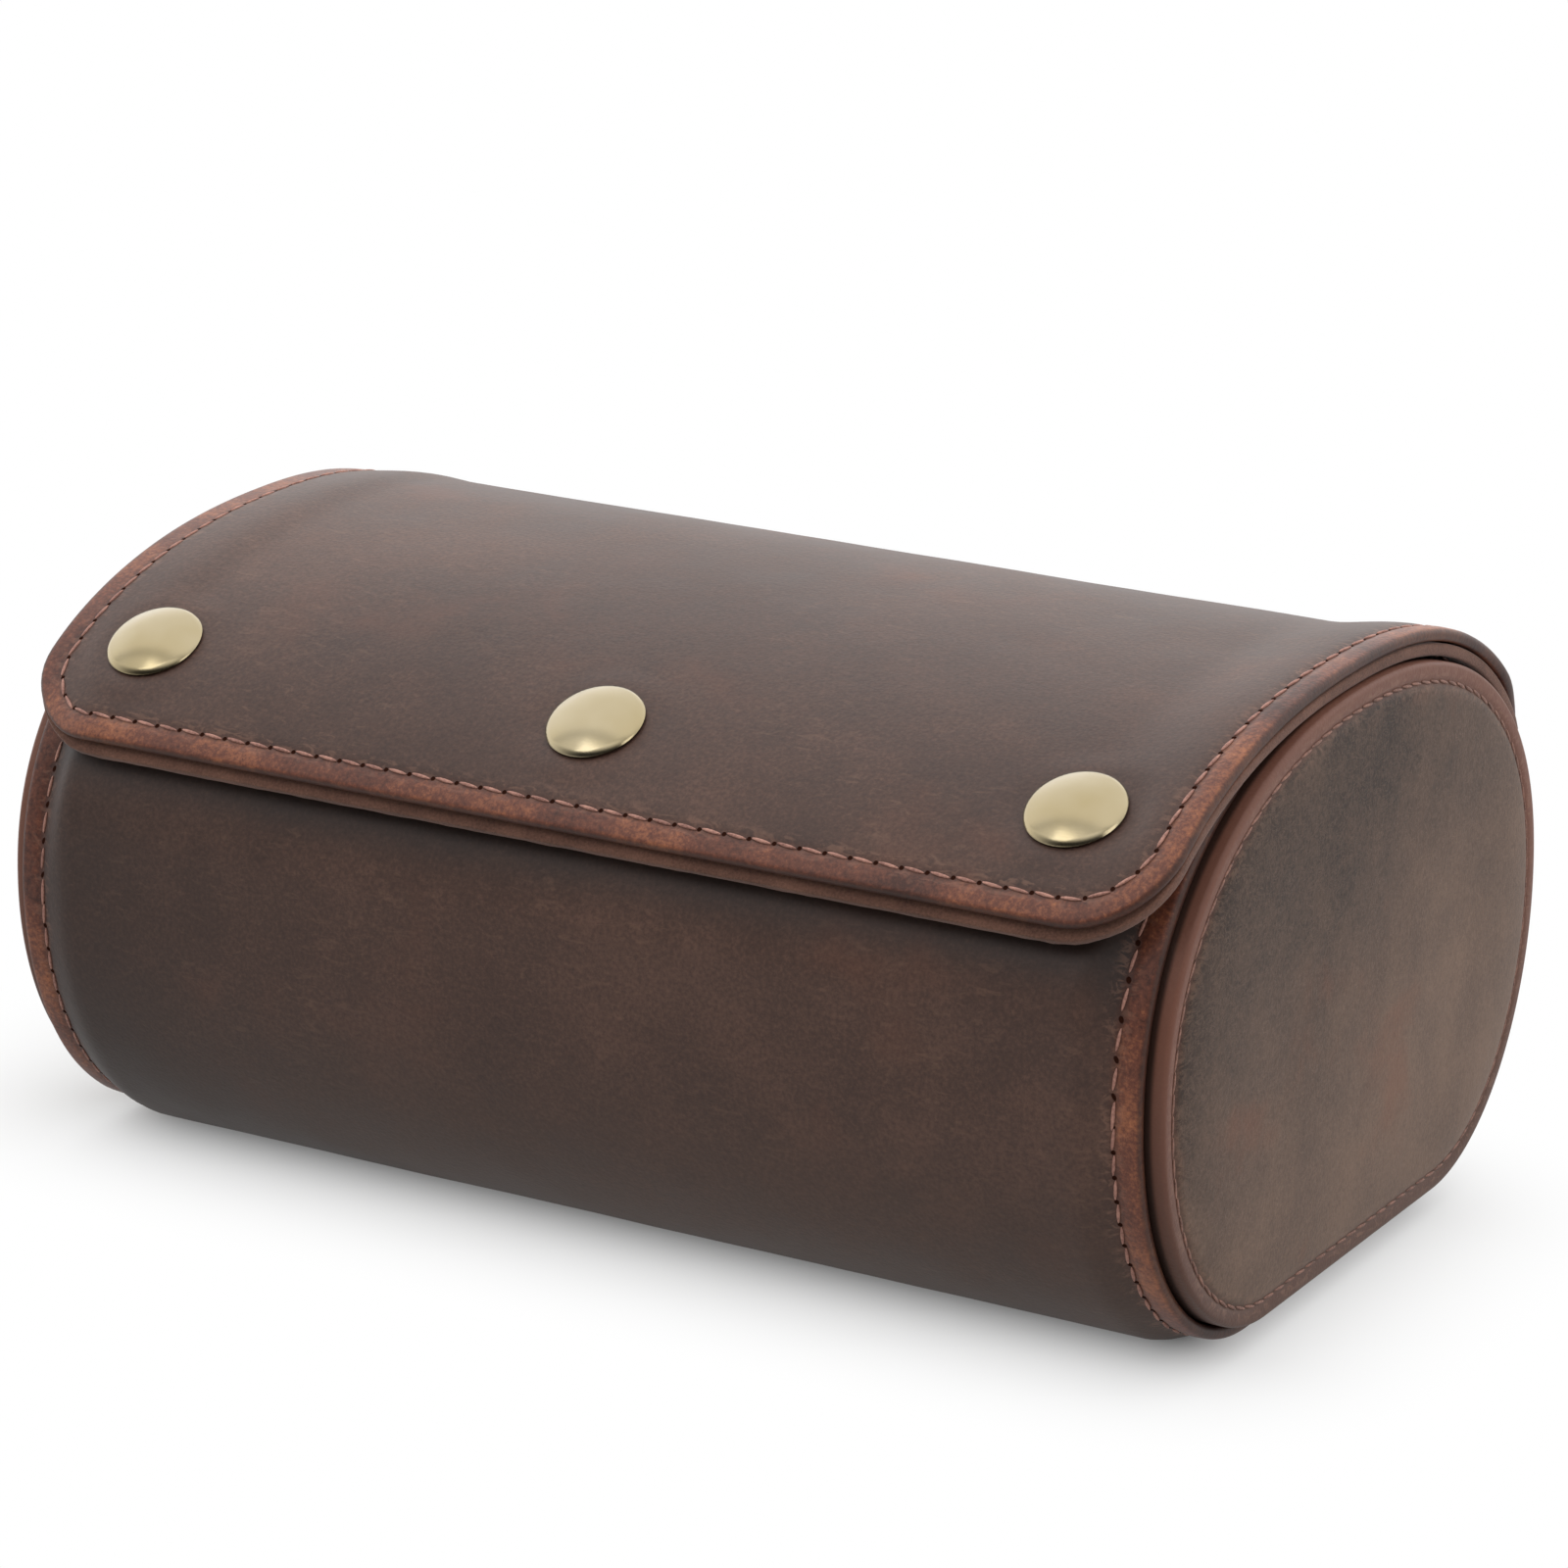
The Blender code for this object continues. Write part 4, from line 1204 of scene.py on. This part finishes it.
def crossSection(form, x, count=96):  # the cushion's outline at a place along X, as a smooth ring
    found = points(form)
    near = found[np.abs(found[:, 0] - x) < 0.0016]
    angle = np.arctan2(near[:, 2], near[:, 1])
    radius = np.hypot(near[:, 1], near[:, 2])
    order = np.argsort(angle)
    turns = np.linspace(-math.pi, math.pi, count, endpoint=False)
    wide = 2 * math.pi / count * 1.6
    gap = np.abs((angle[order] - turns[:, None] + math.pi) % (2 * math.pi) - math.pi)
    weight = np.exp(-(gap / wide) ** 2) + 1e-12
    return turns, weight @ radius[order] / weight.sum(1)


def weltRing(form, side):  # rolled seam edge that follows the cushion's outline
    turns, radius = crossSection(form, side * cushion["seamAt"])
    sides = cushion["weltSides"]
    piece, column, row = addGrid("welt", len(turns), sides)
    column = column % len(turns)
    swing = row % sides / sides * 2 * math.pi
    reach = radius[column] + cushion["weltRadius"] * (cushion["weltOut"] + np.cos(swing))
    x = side * cushion["seamAt"] + cushion["weltRadius"] * np.sin(swing)
    setPoints(piece, np.column_stack([x, reach * np.cos(turns[column]), reach * np.sin(turns[column])]))
    mergeClose(piece)
    smoothShade(piece, 70)
    return piece


def makeCushions(finish):
    form = finishCushion(blowUp(cushionForm()))
    welts = joinPieces("cushion_welts", [weltRing(form, -1), weltRing(form, 1)])
    for word in ("left", "middle", "right"):
        low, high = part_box("pillow_band_" + word)
        nodes = [start + word + end for start, end in (
            ("pillow_band_", ""), ("pillow_core_", ""), ("pillow_end_", "_a"), ("pillow_end_", "_b"))]
        for source, name, replaced in ((form, "cushion_", nodes), (welts, "cushion_seams_", [])):
            piece = copyPiece(source, name + word)
            piece.data.transform(Matrix.Translation((low + high) / 2))
            assign(piece, finish, "suede", "pillow_" + word, *replaced)
    bpy.data.objects.remove(form)
    bpy.data.objects.remove(welts)
    print("cushions stuffed")


# Finishes

def holes(away, along):  # needle holes along a stitch line, 1 inside a hole
    across = away / groove["hole"]
    step = (along.fraction() - 0.5).absolute()
    lengthwise = (0.5 - step) * (strap["stitchPitch"] / groove["hole"])
    return (across * across + lengthwise * lengthwise).root().rise(1.15, 0.75)


def leatherGrain(finish, fine):  # shallow pores, fine creases and soft waves as one bump
    pores = finish.cells(1500, where=finish.place(stretch=(1, 1.2, 1)))
    creases = finish.cloud(620, detail=4, roughness=0.62, distortion=0.5)
    waves = finish.cloud(95, detail=2)
    return pores * (0.30 * fine) + creases * 0.55 * fine + waves * 0.9


def sewnLeather(finish, colour, rough, pricks, fine, strength):  # the needle holes are painted plain and dark, as painted shade inside them
    bump = finish.bump(leatherGrain(finish, fine) - pricks * 2.2, 0.00009, strength)
    finish.show(Base_Color=colour, Roughness=rough, Normal=bump)
    return finish.cover(pricks, finish.node("ShaderNodeBsdfDiffuse", inputs={"Color": paint(38, 19, 13)}))


def makeBodyLeather():
    finish = Finish("brown pull-up leather", Roughness=0.5, Specular_IOR_Level=0.26)
    clouds = finish.cloud(14, detail=4, roughness=0.55, distortion=0.4)
    patches = finish.cloud(70, detail=5, roughness=0.65)
    grain = finish.cloud(1500, detail=3, roughness=0.7)
    wearAndPaintedLight = finish.cloud(48, detail=4, roughness=0.65)
    rust = finish.cloud(26, detail=4, roughness=0.6, where=finish.place(shift=(0.2, 0.4, 0.1)))
    stain = finish.cloud(11, detail=6, roughness=0.62, where=finish.place(shift=(0.05, 0.15, 0.6)))
    hairs = finish.cloud(850, detail=3, roughness=0.6, distortion=1.0,
                         where=finish.place(stretch=(0.35, 1, 1), turn=(0.3, 0.6, 0)))
    hairy = finish.cloud(28, detail=2).rise(0.36, 0.62)
    inset, away = finish.attribute("edgeInset"), finish.attribute("seamAway")
    edge = inset.rise(0.0050, 0.0028)
    base = finish.ramp(clouds * 0.28 + patches * 0.28 + grain * 0.44,
                       (0.38, paint(54, 37, 31)), (0.50, paint(67, 47, 39)), (0.62, paint(84, 60, 50)))
    band = finish.ramp(wearAndPaintedLight * 0.62 + grain * 0.38,
                       (0.38, paint(58, 31, 24)), (0.51, paint(99, 55, 40)), (0.64, paint(150, 92, 60)))
    colour = finish.coats(
        base,
        (rust.rise(0.56, 0.74) * 0.32, paint(98, 58, 42)),
        (stain.rise(0.50, 0.66) * 0.30, paint(46, 33, 30)),
        (hairs.rise(0.53, 0.74) * hairy * 0.26, paint(112, 84, 68)),
        (finish.axis("Z").rise(0.045, 0.002) * 0.70, paint(46, 25, 6)),      # painted shade, darker towards the floor
        # painted shadow under the flap's lip and painted shade at the wall's left end
        (finish.attribute("darkDye"), paint(29, 22, 20)),
        (edge * 0.85, band),
        (inset.rise(0.0007, 0.0001) * 0.7, paint(40, 24, 18)),               # the cut edge
        (away.rise(0.0026, 0.0008) * hairs.rise(0.50, 0.62) * 0.18, paint(146, 108, 90)),  # needle's fray
        # painted shade along the sewn groove
        (away.rise(0.0011, 0.0002) * 0.28, paint(60, 34, 27)))
    pricks = holes(away, finish.attribute("seamWay"))
    return sewnLeather(finish, colour, 0.47 + patches * 0.12 - edge * 0.04, pricks, 1.0, 0.75)


def makePanelLeather():
    finish = Finish("greyer brushed leather", Roughness=0.55, Specular_IOR_Level=0.20)
    clouds = finish.cloud(20, detail=4, roughness=0.5)
    patches = finish.cloud(80, detail=5, roughness=0.62)
    grain = finish.cloud(1300, detail=3, roughness=0.7)
    wearAndPaintedLight = finish.axis("Y") / 0.22 + (0.092 - finish.axis("Z")) / 0.10   # painted light: lighter to the back and below
    rust = finish.cloud(34, detail=4, roughness=0.6, where=finish.place(shift=(0.3, 0.1, 0)))
    hairs = finish.cloud(620, detail=4, roughness=0.7, distortion=1.6,
                         where=finish.place(stretch=(1, 0.5, 1)))
    inset, away = finish.attribute("edgeInset"), finish.attribute("seamAway")
    edge = inset.rise(0.0040, 0.0022)
    base = finish.ramp(clouds * 0.34 + patches * 0.26 + grain * 0.26 + wearAndPaintedLight * 0.30 - 0.04,
                       (0.34, paint(42, 31, 25)), (0.52, paint(80, 63, 53)), (0.72, paint(106, 86, 73)))
    band = finish.blend(finish.axis("Z").rise(0.060, 0.006), paint(106, 68, 55), paint(72, 46, 37))
    colour = finish.coats(
        base,
        ((hairs - 0.5).absolute().rise(0.030, 0.0) * 0.20, paint(136, 110, 96)),
        (rust.rise(0.56, 0.72) * 0.30, paint(108, 66, 48)),
        (edge * 0.82, band),
        (finish.axis("X").absolute().rise(0.0969, 0.0960) * 0.85, paint(26, 16, 12)),      # painted shade inside the slot between the wrap and the panel
        (away.rise(0.0030, 0.0006) * hairs.rise(0.50, 0.60) * 0.22, paint(150, 116, 98)),  # needle's fray
        # painted shade along the sewn groove
        (away.rise(0.0010, 0.0002) * 0.35, paint(60, 36, 29)))
    pricks = holes(away, finish.attribute("seamWay"))
    return sewnLeather(finish, colour, 0.50 + patches * 0.16 - edge * 0.08, pricks, 1.2, 0.8)


def makeSuede(name, dark, light):
    finish = Finish(name, Roughness=0.95, Specular_IOR_Level=0.15, Sheen_Weight=0.16, Sheen_Roughness=0.45)
    nap = finish.cloud(110, detail=4, roughness=0.6, distortion=0.25)
    fuzz = finish.cloud(2600, detail=3, roughness=0.7)
    colour = finish.ramp(nap * 0.42 + fuzz * 0.58, (0.32, dark), (0.68, light))
    return finish.show(Base_Color=colour, Normal=finish.bump(fuzz * 0.8 + nap * 0.5, 0.00012, 0.8))


def makeThread(name, dark, light):
    finish = Finish(name, Roughness=0.7)
    twist = finish.cells(2400)
    colour = finish.ramp(finish.cloud(500, detail=3) * 0.7 + twist * 0.3, (0.30, dark), (0.72, light))
    return finish.show(Base_Color=colour, Normal=finish.bump(twist, 0.00006, 0.7))


def makeMetal(name, dark, light, roughness, brushed):
    finish = Finish(name, Metallic=1.0, Roughness=roughness)
    tarnish = finish.cloud(70)
    grain = finish.cloud(1500, where=finish.place(stretch=brushed))
    rough = roughness - 0.04 + tarnish * 0.04 + grain * 0.04
    return finish.show(Base_Color=finish.ramp(tarnish, (0.30, dark), (0.62, light)), Roughness=rough,
                       Normal=finish.bump(grain, 0.00002, 0.35))


def makeBoard(name, dark, light, scale):
    finish = Finish(name, Roughness=0.9)
    fibres = finish.cloud(scale, detail=5, roughness=0.7, where=finish.place(stretch=(1, 3, 1)))
    return finish.show(Base_Color=finish.ramp(fibres, (0.3, dark), (0.7, light)),
                       Normal=finish.bump(fibres, 0.0001, 0.6))


bodyLeather = makeBodyLeather()
panelLeather = makePanelLeather()
suede = makeSuede("brown microsuede", paint(70, 48, 40), paint(112, 80, 67))
seamThread = makeThread("waxed thread", paint(112, 74, 64), paint(172, 126, 110))
panelThread = makeThread("darker thread", paint(82, 54, 45), paint(140, 101, 86))
brass = makeMetal("antique brass", paint(142, 129, 98), paint(152, 141, 116), 0.19, (1, 9, 1))
steel = makeMetal("plated steel", paint(150, 146, 138), paint(196, 192, 184), 0.32, (1, 1, 6))
greyBoard = makeBoard("grey board", paint(118, 112, 102), paint(150, 143, 130), 500)
paleFoam = makeBoard("pale foam", paint(188, 182, 168), paint(216, 211, 198), 900)
print("finishes made")

makeStrap("leather", hide, roll["leather"], 0.0008, shapeLeather, bodyLeather, "body_leather",
          ("wrap_leather", "flap_leather"))
makeStrap("suede", suedeCut, lining["flapThick"], 0.0004, shapeSuede, suede, "suede",
          ("wrap_lining", "flap_lining"))
makeStrapThreads(seamThread)
for side, word in ((-1, "left"), (1, "right")):
    makePanel(side, word, panelLeather, panelThread)
makeSnaps(brass, steel)
makeDividers(suede)
makeCushions(suede)

# The CAD nodes that stay: boards, foam and the panels' inner lining
kept = {"wrap_board": greyBoard, "end_board": greyBoard, "end_foam": paleFoam, "end_lining": suede}
for name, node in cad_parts.items():
    for start, finish in kept.items():
        if name.startswith(start):
            dress(node, finish)
